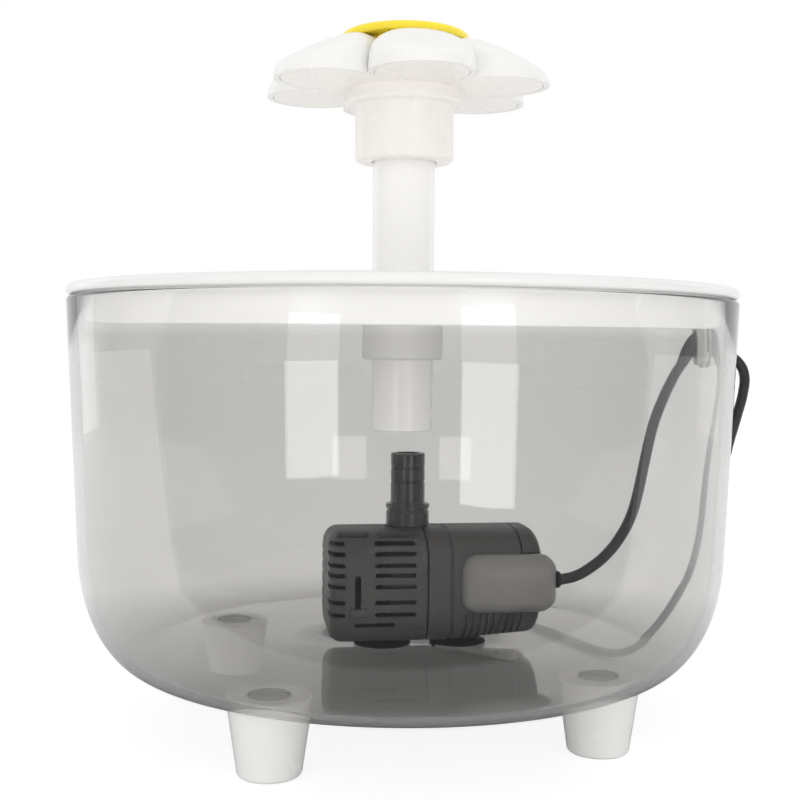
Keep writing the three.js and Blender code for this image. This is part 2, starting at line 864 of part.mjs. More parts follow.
function makeIntakeCover() {
  const outside = loft([...roundedEnd(noseX, noseRound, 1, 0), barrelRing(coverSeamX - seatGap / 2, 0)]);
  const innerRound = noseRound - coverWall;
  const inside = loft([
    ...roundedEnd(noseX + coverWall, innerRound, 1, coverWall),
    barrelRing(coverSeamX + overrun, coverWall),
  ]);
  const slots = [];
  for (let row = 0; row < slotRows; row += 1) {
    const high = slotTopZ - row * slotPitch + slotHeight / 2;
    slotSpans(row).forEach(([from, to]) => {
      [-1, 1].forEach((side) => {
        const y = [side * slotNoseY, side * (barrelHalfWidth + overrun)].sort((a, b) => a - b);
        slots.push(block(from, to, y[0], y[1], high - slotHeight, high));
      });
    });
  }
  const notchHalf = bossRadius + slideGap;
  const notch = join(
    disc(notchHalf, rotorZ, barrelTopZ + overrun),
    block(0, coverSeamX + overrun, -notchHalf, notchHalf, rotorZ, barrelTopZ + overrun),
  );
  const trackHalf = trackWidth / 2;
  const trackTop = trackBottomZ + trackHeight;
  const track = block(
    trackX - trackHalf,
    trackX + trackHalf,
    -barrelHalfWidth - overrun,
    -barrelHalfWidth + coverWall + overrun,
    trackBottomZ,
    trackTop,
  );
  const cupHole = disc(
    cupNeckRadius + seatGap,
    barrelBottomZ - overrun,
    barrelBottomZ + coverWall + overrun,
    smallSides,
  );
  return cut(cut(outside, inside), ...slots, notch, track, cupHole.translate(frontCupX, 0, 0));
}

function makeFlowRegulator() {
  const outside = -barrelHalfWidth - seatGap;
  const inside = -barrelHalfWidth + coverWall + seatGap;
  const neckHalf = trackWidth / 2 - slideGap;
  const bottom = trackBottomZ + slideGap;
  const top = bottom + sliderHeight;
  const half = sliderWidth / 2;
  const neck = block(trackX - neckHalf, trackX + neckHalf, outside - sliderProud / 2, inside + sliderFoot / 2, bottom, top);
  const thumb = loft([
    sectionRing(-half, outside - sliderProud, outside, bottom, top, seatGap, seatGap),
    sectionRing(half, outside - sliderProud, outside, bottom, top, seatGap, seatGap),
  ]).translate(trackX, 0, 0);
  const foot = block(trackX - half, trackX + half, inside, inside + sliderFoot, bottom, top);
  return join(neck, thumb, foot);
}

function pocketRing(x, inset) {
  const round = Math.max(pocketRound - inset, seatGap);
  return sectionRing(
    x,
    pocketOuterY + inset,
    pocketInnerY - inset,
    pocketZ - pocketHalfHeight + inset,
    pocketZ + pocketHalfHeight - inset,
    round,
    round,
  );
}

// The cable pocket's outside, grown all over by a margin.
function cablePocket(margin) {
  const round = pocketRound;
  const nose = [90, 60, 30, 0].map((degrees) => {
    const angle = THREE.MathUtils.degToRad(degrees);
    const x = pocketX + round * (1 - Math.sin(angle)) - margin * Math.sin(angle);
    return pocketRing(x, round * (1 - Math.cos(angle)) - margin);
  });
  const tailShares = [[0, 0], [0.45, 0.14], [0.8, 0.45], [1, 0.85]];
  const tail = tailShares.map(([along, inward]) =>
    pocketRing(pocketEndX - round * (1 - along) + margin * along, round * inward - margin),
  );
  return loft([...nose.slice().sort((a, b) => a[0][0] - b[0][0]), ...tail]);
}

function makePumpHousing() {
  const groove = seamDepth / 2;
  const barrel = loft([
    barrelRing(coverSeamX + seatGap / 2, 0),
    barrelRing(ringSeamX - groove, 0),
    barrelRing(ringSeamX, seamDepth),
    barrelRing(ringSeamX + groove, 0),
    barrelRing(capSeamX, 0),
  ]);
  const cavity = loft([
    barrelRing(ringSeamX + housingWall, housingWall),
    barrelRing(capSeamX + overrun, housingWall),
  ]);
  const volute = alongRotor(disc(voluteRadius, voluteFrontX, coverSeamX + overrun));
  const boss = join(disc(bossRadius, rotorZ, barrelTopZ), disc(spigotRadius, rotorZ, spigotTopZ));
  const wellTube = alongRotor(disc(wellTubeRadius, coverSeamX + overrun, capSeamX - seatGap));
  const chamber = alongRotor(disc(chamberRadius, voluteFrontX - overrun, chamberBackX));
  const well = alongRotor(disc(wellRadius, 0, wellEndX));
  const bushSeat = alongRotor(disc(rearBushRadius + seatGap, 0, wellEndX + bushLength, smallSides));
  const outlet = disc(outletBore, rotorZ, spigotTopZ + overrun);
  const ribs = Array.from({ length: ribCount }, (_, i) => {
    const x = ribStartX + i * ribPitch;
    const slab = block(x, x + ribWidth, -rimRadius, rimRadius, 0, ribTopZ);
    return cut(slab, loft([barrelRing(x - overrun, ribDepth), barrelRing(x + ribWidth + overrun, ribDepth)]));
  });
  const pocket = cablePocket(0);
  const cupSeat = disc(
    cupNeckRadius + seatGap,
    0,
    barrelBottomZ + cupNeckDepth + seatGap,
    smallSides,
  ).translate(rearCupX, 0, 0);
  const shell = join(cut(join(barrel, pocket), cavity), volute, boss, wellTube);
  return cut(shell, chamber, well, bushSeat, outlet, cupSeat, ...ribs);
}

function makeRearCap() {
  const frontX = capSeamX + seatGap;
  const outside = loft([barrelRing(frontX, 0), ...roundedEnd(rearX, rearRound, -1, 0).reverse()]);
  const hollow = loft([
    barrelRing(frontX - overrun, housingWall),
    barrelRing(rearX - housingWall, housingWall + seatGap),
  ]);
  return cut(outside, hollow, cablePocket(seatGap));
}

function makeImpellerPlate() {
  const front = voluteFrontX - seatGap - plateFlange;
  const back = voluteFrontX - seatGap;
  const plate = join(
    disc(voluteRadius, front, back),
    disc(chamberRadius - slideGap, back - overrun, back + plateSpigot),
  );
  const bushSeat = disc(bushRadius + seatGap, front - overrun, back + plateSpigot + overrun, smallSides);
  const inlet = tube(inletRadius, plateHubRadius, front - overrun, back + plateSpigot + overrun, 24);
  const spokes = Array.from({ length: spokeCount }, (_, i) => {
    const half = spokeWidth / 2;
    const form = block(0, inletRadius + overrun, -half, half, front - overrun, back + plateSpigot + overrun);
    return form.rotateZ((i * 2 * Math.PI) / spokeCount);
  });
  return alongRotor(cut(plate, bushSeat, cut(inlet, ...spokes)));
}

function makeImpeller() {
  const discFront = impellerBackX - impellerDisc;
  const blades = Array.from({ length: bladeCount }, (_, i) => {
    const half = bladeWidth / 2;
    const blade = block(impellerHub / 2, impellerRadius, -half, half, impellerFrontX, discFront + seatGap);
    return blade.translate(0, bladeWidth, 0).rotateZ((i * 2 * Math.PI) / bladeCount);
  });
  const hub = disc(impellerHub, impellerFrontX, impellerBackX + seatGap, smallSides);
  const wheel = join(disc(impellerRadius, discFront, impellerBackX), hub, ...blades);
  const rim = tube(impellerRadius + impellerDisc, impellerRadius, impellerFrontX - overrun, impellerBackX + overrun);
  const bore = disc(shaftRadius + shaftGap, impellerFrontX - overrun, impellerBackX + overrun, smallSides);
  return alongRotor(cut(wheel, bore, rim));
}

function makeBush(radius, from, to, openFront) {
  const seat = shaftRadius + shaftGap;
  const floor = openFront ? to - bushFloor : from + bushFloor;
  const [boreFrom, boreTo] = openFront ? [from - overrun, floor] : [floor, to + overrun];
  return alongRotor(cut(disc(radius, from, to, smallSides), disc(seat, boreFrom, boreTo, smallSides)));
}

const frontBushX = voluteFrontX - seatGap - plateFlange;
const rearBushX = wellEndX + seatGap;
const rearBushEnd = wellEndX + bushLength - seatGap;

function makeShaft() {
  return alongRotor(disc(shaftRadius, frontBushX + bushFloor + seatGap, rearBushEnd - bushFloor - seatGap, 12));
}

function makeMagnet() {
  const bore = shaftRadius + shaftGap;
  return alongRotor(tube(magnetRadius, bore, magnetStartX, magnetEndX, 20));
}

function makeStatorCore() {
  const end = statorStartX + statorLength;
  const back = tube(statorRadius, statorRadius - statorRing, statorStartX, end);
  const poleReach = statorRadius - statorRing / 2;
  const half = poleWidth / 2;
  const pole = block(-poleReach, poleReach, -half, half, statorStartX + poleMargin, end - poleMargin);
  const bore = disc(wellTubeRadius + seatGap, statorStartX - overrun, end + overrun);
  return alongRotor(join(back, cut(pole, bore)));
}

// Winding round one pole, above the rotor for side 1 and below it for side -1.
function makeWinding(side) {
  const low = wellTubeRadius + seatGap * 3;
  const high = low + windingHeight;
  const holeX = statorLength / 2 - poleMargin + seatGap;
  const holeY = poleWidth / 2 + seatGap;
  const outerX = holeX + windingThickness;
  const outerY = holeY + windingThickness;
  const middle = statorStartX + statorLength / 2;
  const zs = [rotorZ + side * low, rotorZ + side * high].sort((a, b) => a - b);
  const outer = block(-outerX, outerX, -outerY, outerY, zs[0], zs[1]);
  const hole = block(-holeX, holeX, -holeY, holeY, zs[0] - overrun, zs[1] + overrun);
  return cut(outer, hole).translate(middle, 0, 0);
}

function makeDriverBoard() {
  const outer = statorRadius - boardMargin;
  return alongRotor(tube(outer, wellTubeRadius + seatGap, boardX, boardX + boardThickness, 24));
}

// Barbed spout with a collar that goes over the pump's outlet spigot.
function makeNozzle() {
  const collarBore = spigotRadius + seatGap;
  const collarZ = barrelTopZ + seatGap;
  const collarTop = nozzleFlangeZ - nozzleNeck;
  const shoulder = spigotTopZ + seatGap + sealRing + seatGap;
  const flangeTop = nozzleFlangeZ + nozzleFlange;
  const grooves = [2, 1].flatMap((k) => {
    const z = nozzleTopZ - k * nozzleGroovePitch;
    return [
      [nozzleRadius, z - nozzleGrooveWidth],
      [nozzleRadius - nozzleGroove, z - nozzleGrooveWidth / 2],
      [nozzleRadius, z],
    ];
  });
  return ringOf([
    [collarBore, collarZ],
    [bossRadius, collarZ],
    [bossRadius, collarTop],
    [nozzleNeckRadius, collarTop],
    [nozzleNeckRadius, nozzleFlangeZ],
    [nozzleFlangeRadius, nozzleFlangeZ],
    [nozzleFlangeRadius, flangeTop],
    [nozzleRadius, flangeTop],
    ...grooves,
    [nozzleRadius, nozzleTopZ - nozzleGroove],
    [nozzleRadius - nozzleGroove, nozzleTopZ],
    [nozzleBore, nozzleTopZ],
    [nozzleBore, shoulder],
    [collarBore, shoulder],
  ]);
}

function makeNozzleSeal() {
  const bottom = spigotTopZ + seatGap;
  return tube(spigotRadius, outletBore, bottom, bottom + sealRing, 24);
}

function makeSuctionCup() {
  const bottom = bowlInnerZ + seatGap;
  const top = barrelBottomZ - seatGap;
  const rise = top - bottom;
  return revolve(
    [
      [0, bottom + rise / 2],
      [cupRadius / 2, bottom + rise / 3],
      [cupRadius - cupLip, bottom],
      [cupRadius, bottom],
      [cupRadius, bottom + cupLip],
      [cupRadius * 0.8, bottom + rise * 0.55],
      [cupRadius / 2, top],
      [cupNeckRadius, top],
      [cupNeckRadius, barrelBottomZ + cupNeckDepth],
      [0, barrelBottomZ + cupNeckDepth],
    ],
    18,
  );
}

function makeCordSeal() {
  const start = pocketEndX + seatGap;
  const cone = revolve(
    [[0, start], [sealRadius, start], [cordRadius + seatGap, start + sealLength], [0, start + sealLength]],
    smallSides,
  );
  return cone.rotateY(Math.PI / 2).translate(0, cordExitY, cordExitZ);
}

// Supply cord, coil and plug

// The route keeps its distance from the bowl's wall when the rim's size changes.
function followWall([x, y, z]) {
  const share = THREE.MathUtils.clamp((x - cordRoute[0][0]) / (routeWallX - cordRoute[0][0]), 0, 1);
  return new THREE.Vector3(x + share * (rimRadius - routeRimRadius), y, z);
}

function cordAlong(route, steps) {
  const path = new THREE.CatmullRomCurve3(route.map(followWall));
  const outline = Array.from({ length: cordSides }, (_, i) => {
    const angle = (i * 2 * Math.PI) / cordSides;
    return new THREE.Vector2(cordRadius * Math.cos(angle), cordRadius * Math.sin(angle));
  });
  return new THREE.ExtrudeGeometry(new THREE.Shape(outline), { steps, extrudePath: path });
}

const coilHalfWidth = coilColumns * cordRadius;
const coilBottomZ = tieThickness + seatGap;
const coilTopZ = coilBottomZ + coilLayers * 2 * cordRadius;

function makeCoil() {
  const halfWidth = coilHalfWidth;
  const top = coilTopZ;
  const ring = ringOf(
    [
      [coilRadius - halfWidth + cordRadius, coilBottomZ],
      [coilRadius + halfWidth - cordRadius, coilBottomZ],
      [coilRadius + halfWidth, coilBottomZ + cordRadius],
      [coilRadius + halfWidth, top - cordRadius],
      [coilRadius + halfWidth - cordRadius, top],
      [coilRadius - halfWidth + cordRadius, top],
      [coilRadius - halfWidth, top - cordRadius],
      [coilRadius - halfWidth, coilBottomZ + cordRadius],
    ],
    24,
  );
  return ring.translate(coilX, coilY, 0);
}

function makeCoilTie() {
  const innerHalf = coilHalfWidth + seatGap + tieSlack;
  const outerHalf = innerHalf + tieThickness;
  const innerTop = coilTopZ + seatGap;
  const half = tieWidth / 2;
  const loop = cut(
    block(coilRadius - outerHalf, coilRadius + outerHalf, -half, half, 0, innerTop + tieThickness),
    block(coilRadius - innerHalf, coilRadius + innerHalf, -tieWidth, tieWidth, tieThickness, innerTop),
  );
  return loop.rotateZ(tieTurn).translate(coilX, coilY, 0);
}

// The plug's pieces are made along +X from 0 and laid at the end of the tail.
function atTail(form, distance) {
  const [x, y, z] = tailRoute[tailRoute.length - 1];
  return form.translate(x + distance, y, z);
}

function plugSection(x, width, height, round) {
  return sectionRing(x, -width / 2, width / 2, -height / 2, height / 2, round, round);
}

function makeRelief() {
  const cone = revolve(
    [[0, 0], [cordRadius + seatGap, 0], [reliefRadius, reliefLength], [0, reliefLength]],
    smallSides,
  );
  return atTail(cone.rotateY(Math.PI / 2), seatGap);
}

const plugStart = seatGap + reliefLength + seatGap;
const shellStart = plugStart + plugLength + seatGap;

function makePlugBody() {
  const shoulder = plugRound;
  const form = loft([
    plugSection(0, plugWidth - shoulder, plugHeight - shoulder / 2, plugRound - shoulder / 4),
    plugSection(shoulder, plugWidth, plugHeight, plugRound),
    plugSection(plugLength - shoulder / 2, plugWidth, plugHeight, plugRound),
    plugSection(plugLength, plugWidth - shoulder / 2, plugHeight - shoulder / 2, plugRound - shoulder / 4),
  ]);
  return atTail(form, plugStart);
}

function makePlugShell() {
  const halfW = shellWidth / 2;
  const halfH = shellHeight / 2;
  const outer = block(0, shellLength, -halfW, halfW, -halfH, halfH);
  const inner = block(
    shellRoot,
    shellLength + overrun,
    -halfW + shellWall,
    halfW - shellWall,
    -halfH + shellWall,
    halfH - shellWall,
  );
  return atTail(cut(outer, inner), shellStart);
}

function makePlugTongue() {
  const halfW = shellWidth / 2 - shellWall - tongueSide;
  const low = -shellHeight / 2 + shellWall + seatGap;
  const form = block(shellRoot + seatGap, shellLength - tongueInset, -halfW, halfW, low, low + tongueHeight);
  return atTail(form, shellStart);
}

// Assembly

const fountain = new THREE.Group();
const base = new THREE.Group();
const top = new THREE.Group();
const pump = new THREE.Group();
const cord = new THREE.Group();
fountain.add(base, top, pump, cord);
pump.position.x = pumpOffset;
pump.rotation.z = pumpTurn;

piece("bowl", makeBowl(), smokyClear, base);
footPlaces.forEach(([x, y], i) => {
  const foot = piece("foot_" + (i + 1), makeFoot(), whitePlastic, base);
  foot.position.set(x, y, 0);
});

piece("cord_grommet", makeGrommet(), milkyRubber, base);

piece("tray", makeTray(), whitePlastic, top);
piece("strainer", makeStrainer(), whitePlastic, top);
piece("filter_pad", makeFilterPad(), filterFoam, top);
piece("stem", makeStem(), whitePlastic, top);
piece("flower_base", makeFlowerBase(), whitePlastic, top);
piece("petal_shell", makePetalShell(), whitePlastic, top);
piece("flower_cap", makeFlowerCap(), yellowPlastic, top);

piece("pump_housing", makePumpHousing(), greyPlastic, pump);
piece("pump_rear_cap", makeRearCap(), greyPlastic, pump);
piece("intake_cover", makeIntakeCover(), greyPlastic, pump);
piece("flow_regulator", makeFlowRegulator(), greyPlastic, pump);
piece("impeller_plate", makeImpellerPlate(), blackPlastic, pump);
piece("impeller", makeImpeller(), blackPlastic, pump);
piece("rotor_magnet", makeMagnet(), ferrite, pump);
piece("rotor_shaft", makeShaft(), ceramicWhite, pump);
const frontBush = makeBush(bushRadius, frontBushX, frontBushX + bushLength, false);
piece("front_bush", frontBush, darkRubber, pump);
piece("rear_bush", makeBush(rearBushRadius, rearBushX, rearBushEnd, true), darkRubber, pump);
piece("stator_core", makeStatorCore(), laminate, pump);
piece("upper_winding", makeWinding(1), copper, pump);
piece("lower_winding", makeWinding(-1), copper, pump);
piece("driver_board", makeDriverBoard(), boardGreen, pump);
piece("outlet_nozzle", makeNozzle(), blackPlastic, pump);
piece("nozzle_seal", makeNozzleSeal(), darkRubber, pump);
piece("front_suction_cup", makeSuctionCup(), darkRubber, pump).position.x = frontCupX;
piece("rear_suction_cup", makeSuctionCup(), darkRubber, pump).position.x = rearCupX;
piece("cord_seal", makeCordSeal(), darkRubber, pump);

piece("supply_cord", cordAlong(cordRoute, supplyCordSteps), cordSheath, cord);
piece("cord_tail", cordAlong(tailRoute, tailSteps), cordSheath, cord);
piece("cord_coil", makeCoil(), cordSheath, cord);
piece("cord_tie", makeCoilTie(), blackPlastic, cord);
piece("plug_relief", makeRelief(), cordSheath, cord);
piece("plug_body", makePlugBody(), cordSheath, cord);
piece("plug_shell", makePlugShell(), plateMetal, cord);
piece("plug_tongue", makePlugTongue(), blackPlastic, cord);

export default fountain;
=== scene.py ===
# Pet water fountain: smoky clear bowl on white feet, white drinking tray, flower spout on a long
# stem, and a small submersible pump with its cord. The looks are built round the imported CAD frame.

from math import asin, atan2, cos, hypot, pi, radians, sin, sqrt, tan

import bpy
from mathutils import Matrix, Vector


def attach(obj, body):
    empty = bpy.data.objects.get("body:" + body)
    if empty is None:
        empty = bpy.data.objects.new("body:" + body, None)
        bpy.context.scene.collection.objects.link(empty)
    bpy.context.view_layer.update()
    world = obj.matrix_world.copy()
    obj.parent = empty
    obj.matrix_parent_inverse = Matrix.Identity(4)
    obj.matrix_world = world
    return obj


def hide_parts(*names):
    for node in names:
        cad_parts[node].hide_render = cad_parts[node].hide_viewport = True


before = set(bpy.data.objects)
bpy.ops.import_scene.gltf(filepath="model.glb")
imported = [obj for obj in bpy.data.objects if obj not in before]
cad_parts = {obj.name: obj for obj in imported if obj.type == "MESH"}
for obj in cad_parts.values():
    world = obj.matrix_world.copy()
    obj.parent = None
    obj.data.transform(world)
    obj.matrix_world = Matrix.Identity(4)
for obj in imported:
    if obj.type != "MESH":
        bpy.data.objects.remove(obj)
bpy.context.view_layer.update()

# Lengths are in millimetres until MM turns them to metres
MM = 0.001

# Points closer than WELD become one point, and seated pieces keep GAP between them
WELD = 0.002
GAP = 0.3

# The photograph's viewpoint
EYE_DISTANCE = 366.4
EYE_HEIGHT = 108.5
EYE_PITCH = 0.043
EYE_ROLL = 0.009
LENS = 56.4
SHIFT_X = -0.0025
NEAREST_SEEN = 10

# Bowl and feet
RIM_R, RIM_Z = 95, 121.3
WALL = 2.6
FLOOR_Z, FLOOR_THICK = 18.5, 2.5
FLAT_R = 73
SHOULDER_R, SHOULDER_Z = 92.2, 52.5
STUD_R, STUD_LENGTH = 5.4, 5
FOOT_CIRCLE, FOOT_TURN = 62.8, radians(58.6)
HOLE_R, HOLE_Z, HOLE_TURN = 3.4, 106.7, radians(5)

# Pump
PUMP_OFFSET = 1.9
PUMP_TURN = radians(8)
BARREL_HALF, BARREL_TOP, BARREL_BOTTOM = 17, 55.9, 24
UPPER_ROUND, UPPER_RISE, LOWER_ROUND = 13.5, 8, 9
REAR_LIFT, REAR_ROUND = 1.2, 4
LEAST_ROUND = 0.3
ROTOR_Z = 40
COVER_SEAM, RING_SEAM, CAP_SEAM, REAR_X = 3.7, 10.6, 30.5, 36.6
NOSE_X = -24
FRONT_CUP_X, REAR_CUP_X, CUP_SEAT_R = -7.2, 15.2, 2.3

# Cord
CORD_R = 1.55
COIL_X, COIL_Y = 10, 125
CORD_ROUTE = [
    (45.4, -10.6, 42.4), (50.0, -10.2, 43.4), (54.4, -10.0, 45.9), (58.8, -9.5, 49.4),
    (63.1, -9.0, 54.8), (66.3, -8.4, 61.0), (68.1, -7.7, 67.0), (69.7, -6.9, 74.0),
    (71.3, -5.6, 80.6), (73.2, -3.6, 86.7), (76.2, -0.6, 93.0), (79.6, 2.4, 98.8),
    (83.1, 5.1, 103.4), (86.0, 6.9, 105.9), (88.6, 7.75, 106.68), (91.6, 8.01, 106.7),
    (95.6, 8.36, 106.7), (98.4, 8.6, 106.1), (101.0, 8.8, 104.0), (102.4, 8.9, 100.7),
    (102.2, 8.9, 95.8), (100.4, 8.9, 88.4), (98.1, 8.8, 80.0), (96.3, 8.5, 71.6),
    (95.2, 8.4, 63.2), (94.4, 9.0, 55.0), (93.4, 11.4, 47.2), (92.0, 15.8, 39.0),
    (89.6, 21.6, 30.2), (86.4, 28.6, 21.0), (82.6, 36.4, 12.2), (78.4, 44.2, 5.9),
    (73.9, 52.0, 2.7), (69.5, 60.3, 1.75), (64.9, 69.4, 1.7), (58.2, 83.0, 1.7),
    (51.4, 96.4, 1.7), (44.5, 109.8, 1.7), (37.6, 123.5, 1.7),
]
TAIL_ROUTE = [
    (9.6, 149.6, 1.8), (3.4, 151.4, 1.9), (-1.6, 155.0, 2.1), (-4.2, 160.0, 2.4),
    (-3.4, 165.6, 2.7), (0.6, 169.6, 3.1), (6.0, 171.2, 3.5), (11.4, 171.4, 3.75),
    (17.0, 171.4, 3.8),
]


# Making meshes by hand

def deselect():
    if bpy.context.object and bpy.context.object.mode != "OBJECT":
        bpy.ops.object.mode_set(mode="OBJECT")
    bpy.ops.object.select_all(action="DESELECT")


def take(piece):
    deselect()
    piece.select_set(True)
    bpy.context.view_layer.objects.active = piece


def named(name):
    piece = bpy.context.object
    piece.name = piece.data.name = name
    return piece


def edit(piece, kind="VERT"):
    take(piece)
    bpy.ops.object.mode_set(mode="EDIT")
    bpy.ops.mesh.select_mode(type=kind)


def done():
    bpy.ops.object.mode_set(mode="OBJECT")


def pick(piece, kind, wanted):
    """Selects the vertices or edges for which wanted is true, and stays in edit mode."""
    edit(piece, kind)
    bpy.ops.mesh.select_all(action="DESELECT")
    done()
    for item in piece.data.vertices if kind == "VERT" else piece.data.edges:
        item.select = wanted(item)
    bpy.ops.object.mode_set(mode="EDIT")


def applied(piece):
    take(piece)
    bpy.ops.object.transform_apply(location=True, rotation=True, scale=True)
    return piece


def moved(piece, x=0, y=0, z=0):
    piece.location = (x * MM, y * MM, z * MM)
    return applied(piece)


def laid(piece, x=0, y=0, z=0):
    """Lays a piece that was made about Z along X, and moves it."""
    piece.rotation_euler = (0, pi / 2, 0)
    return moved(piece, x, y, z)


def swung(piece, angle):
    """Turns a piece about the Z axis."""
    piece.rotation_euler = (0, 0, angle)
    return applied(piece)


def modify(piece, kind, **settings):
    take(piece)
    modifier = piece.modifiers.new(kind.title(), kind)
    for key, value in settings.items():
        setattr(modifier, key, value)
    bpy.ops.object.modifier_apply(modifier=modifier.name)


def joined(name, parts):
    take(parts[0])
    for part in parts[1:]:
        part.select_set(True)
    bpy.ops.object.join()
    return named(name)


def combine(piece, operation, *others):
    for other in others:
        modify(piece, "BOOLEAN", object=other, operation=operation, solver="EXACT")
        bpy.data.objects.remove(other)
        if not piece.data.polygons:
            raise RuntimeError(f"{piece.name} came out empty")
    return piece


def carve(piece, *cutters):
    return combine(piece, "DIFFERENCE", *cutters)


def unite(piece, *others):
    return combine(piece, "UNION", *others)


def smooth(piece, angle=35):
    take(piece)
    bpy.ops.object.shade_smooth_by_angle(angle=radians(angle))
    return piece


def welded(piece, sharp):
    """Ends an edit: points that fall together are joined, faces look outward, and shading is smooth."""
    bpy.ops.mesh.select_all(action="SELECT")
    bpy.ops.mesh.remove_doubles(threshold=WELD * MM)
    bpy.ops.mesh.normals_make_consistent(inside=False)
    done()
    return smooth(piece, sharp)


def arc(centre_r, centre_z, size, start, end, steps=6, size_z=None):
    """Points of an arc in radius and height, angles in degrees."""
    tall = size if size_z is None else size_z
    angles = [radians(start + (end - start) * i / steps) for i in range(steps + 1)]
    return [(centre_r + size * cos(a), centre_z + tall * sin(a)) for a in angles]


def turned(name, profile, steps=96, sharp=30):
    """A profile in radius and height is drawn point by point and spun about Z."""
    deselect()
    bpy.ops.mesh.primitive_plane_add(size=MM)
    piece = named(name)
    edit(piece)
    bpy.ops.mesh.select_all(action="SELECT")
    bpy.ops.mesh.merge(type="CENTER")
    radius, height = profile[0]
    bpy.ops.transform.translate(value=(radius * MM, 0, height * MM))
    for (r0, z0), (r1, z1) in zip(profile, profile[1:]):
        move = ((r1 - r0) * MM, 0, (z1 - z0) * MM)
        bpy.ops.mesh.extrude_region_move(TRANSFORM_OT_translate={"value": move})
    bpy.ops.mesh.select_all(action="SELECT")
    bpy.ops.mesh.spin(steps=steps, angle=2 * pi, center=(0, 0, 0), axis=(0, 0, 1))
    return welded(piece, sharp)


def ring(name, profile, steps=96, sharp=30):
    return turned(name, profile + profile[:1], steps, sharp)


def disc(name, radius, low, high, steps=48):
    return turned(name, [(0, low), (radius, low), (radius, high), (0, high)], steps)


def bar(name, low, high, along="", radius=0, segments=5):
    """A block between two corners, with its edges along one axis rounded."""
    deselect()
    middle = [(a + b) / 2 * MM for a, b in zip(low, high)]
    size = [(b - a) for a, b in zip(low, high)]
    bpy.ops.mesh.primitive_cube_add(size=MM, location=middle, scale=size)
    piece = applied(named(name))
    if radius:
        axis = "xyz".index(along)

        def runs_along(an_edge):
            a, b = (piece.data.vertices[i].co for i in an_edge.vertices)
            return all(abs(a[k] - b[k]) < MM / 100 for k in range(3) if k != axis)

        pick(piece, "EDGE", runs_along)
        bpy.ops.mesh.bevel(offset=radius * MM, segments=segments, affect="EDGES")
        done()
    return piece


def skinned(name, rings, closed=False, sharp=30):
    """A skin drawn ring by ring: a circle is laid on the first ring and extruded to each next one."""
    deselect()
    count = len(rings[0])
    bpy.ops.mesh.primitive_circle_add(vertices=count, radius=MM)
    piece = named(name)
    for vertex, point in zip(piece.data.vertices, rings[0]):
        vertex.co = Vector(point) * MM
    stages = rings[1:] + (rings[:1] if closed else [])
    edit(piece)
    if not closed:
        bpy.ops.mesh.select_all(action="SELECT")
        bpy.ops.mesh.edge_face_add()
    done()
    start = 0
    for points in stages:
        low, high = start, start + count
        pick(piece, "EDGE", lambda e: all(low <= i < high for i in e.vertices))
        bpy.ops.mesh.extrude_edges_move()
        done()
        start = len(piece.data.vertices) - count
        for k, point in enumerate(points):
            piece.data.vertices[start + k].co = Vector(point) * MM
    if not closed:
        low = start
        pick(piece, "VERT", lambda v: v.index >= low)
        bpy.ops.mesh.edge_face_add()
    edit(piece)
    return welded(piece, sharp)


# Building materials from nodes

OPAQUE_WHITE = (1, 1, 1, 1)


def fill(tree, target, inputs):
    """Gives a node's inputs, by name or number, plain values or the outputs of other nodes."""
    for key, value in inputs.items():
        if isinstance(value, bpy.types.NodeSocket):
            tree.links.new(value, target.inputs[key])
        else:
            target.inputs[key].default_value = value


def new_node(tree, kind, inputs=None, **settings):
    made = tree.nodes.new("ShaderNode" + kind)
    for key, value in settings.items():
        setattr(made, key, value)
    fill(tree, made, inputs or {})
    return made


def new_material(name):
    material = bpy.data.materials.new(name)
    material.use_nodes = True
    tree = material.node_tree
    return material, tree, tree.nodes["Principled BSDF"]


def maths(tree, operation, *values):
    return new_node(tree, "Math", dict(enumerate(values)), operation=operation).outputs["Value"]


def mixed(tree, factor, a, b):
    """A number between a and b, by a factor held between 0 and 1."""
    return new_node(tree, "Mix", {0: factor, 2: a, 3: b}).outputs[0]


def ranged(tree, value, start, end, low=0, high=1, interpolation="LINEAR"):
    """Maps a value from one range to another, and holds it at both ends."""
    limits = {"Value": value, "From Min": start, "From Max": end, "To Min": low, "To Max": high}
    return new_node(tree, "MapRange", limits, interpolation_type=interpolation).outputs["Result"]


def between(tree, noise, low, high):
    """Maps the middle of a noise to a range of values."""
    return ranged(tree, noise, 0.3, 0.7, low, high)


def object_place(tree):
    return new_node(tree, "TexCoord").outputs["Object"]


def object_noise(tree, scale, detail=4, stretch=(1, 1, 1)):
    mapping = new_node(tree, "Mapping", {"Vector": object_place(tree), "Scale": stretch})
    inputs = {"Vector": mapping.outputs["Vector"], "Scale": scale, "Detail": detail}
    return new_node(tree, "TexNoise", inputs).outputs["Fac"]


def two_tones(tree, factor, first, second, low=0.25, high=0.75):
    """Blends one tone to another while the factor goes from low to high."""
    ramp = new_node(tree, "ValToRGB", {"Fac": factor})
    for element, position, tone in zip(ramp.color_ramp.elements, (low, high), (first, second)):
        element.position = position
        element.color = (*tone, 1)
    return ramp.outputs["Color"]


def bumped(tree, shader, height, distance):
    """Raises a skin by a height between 0 and 1, times a distance in millimetres."""
    bump = new_node(tree, "Bump", {"Height": height, "Strength": 1.0, "Distance": distance * MM})
    fill(tree, shader, {"Normal": bump.outputs["Normal"]})


# Materials

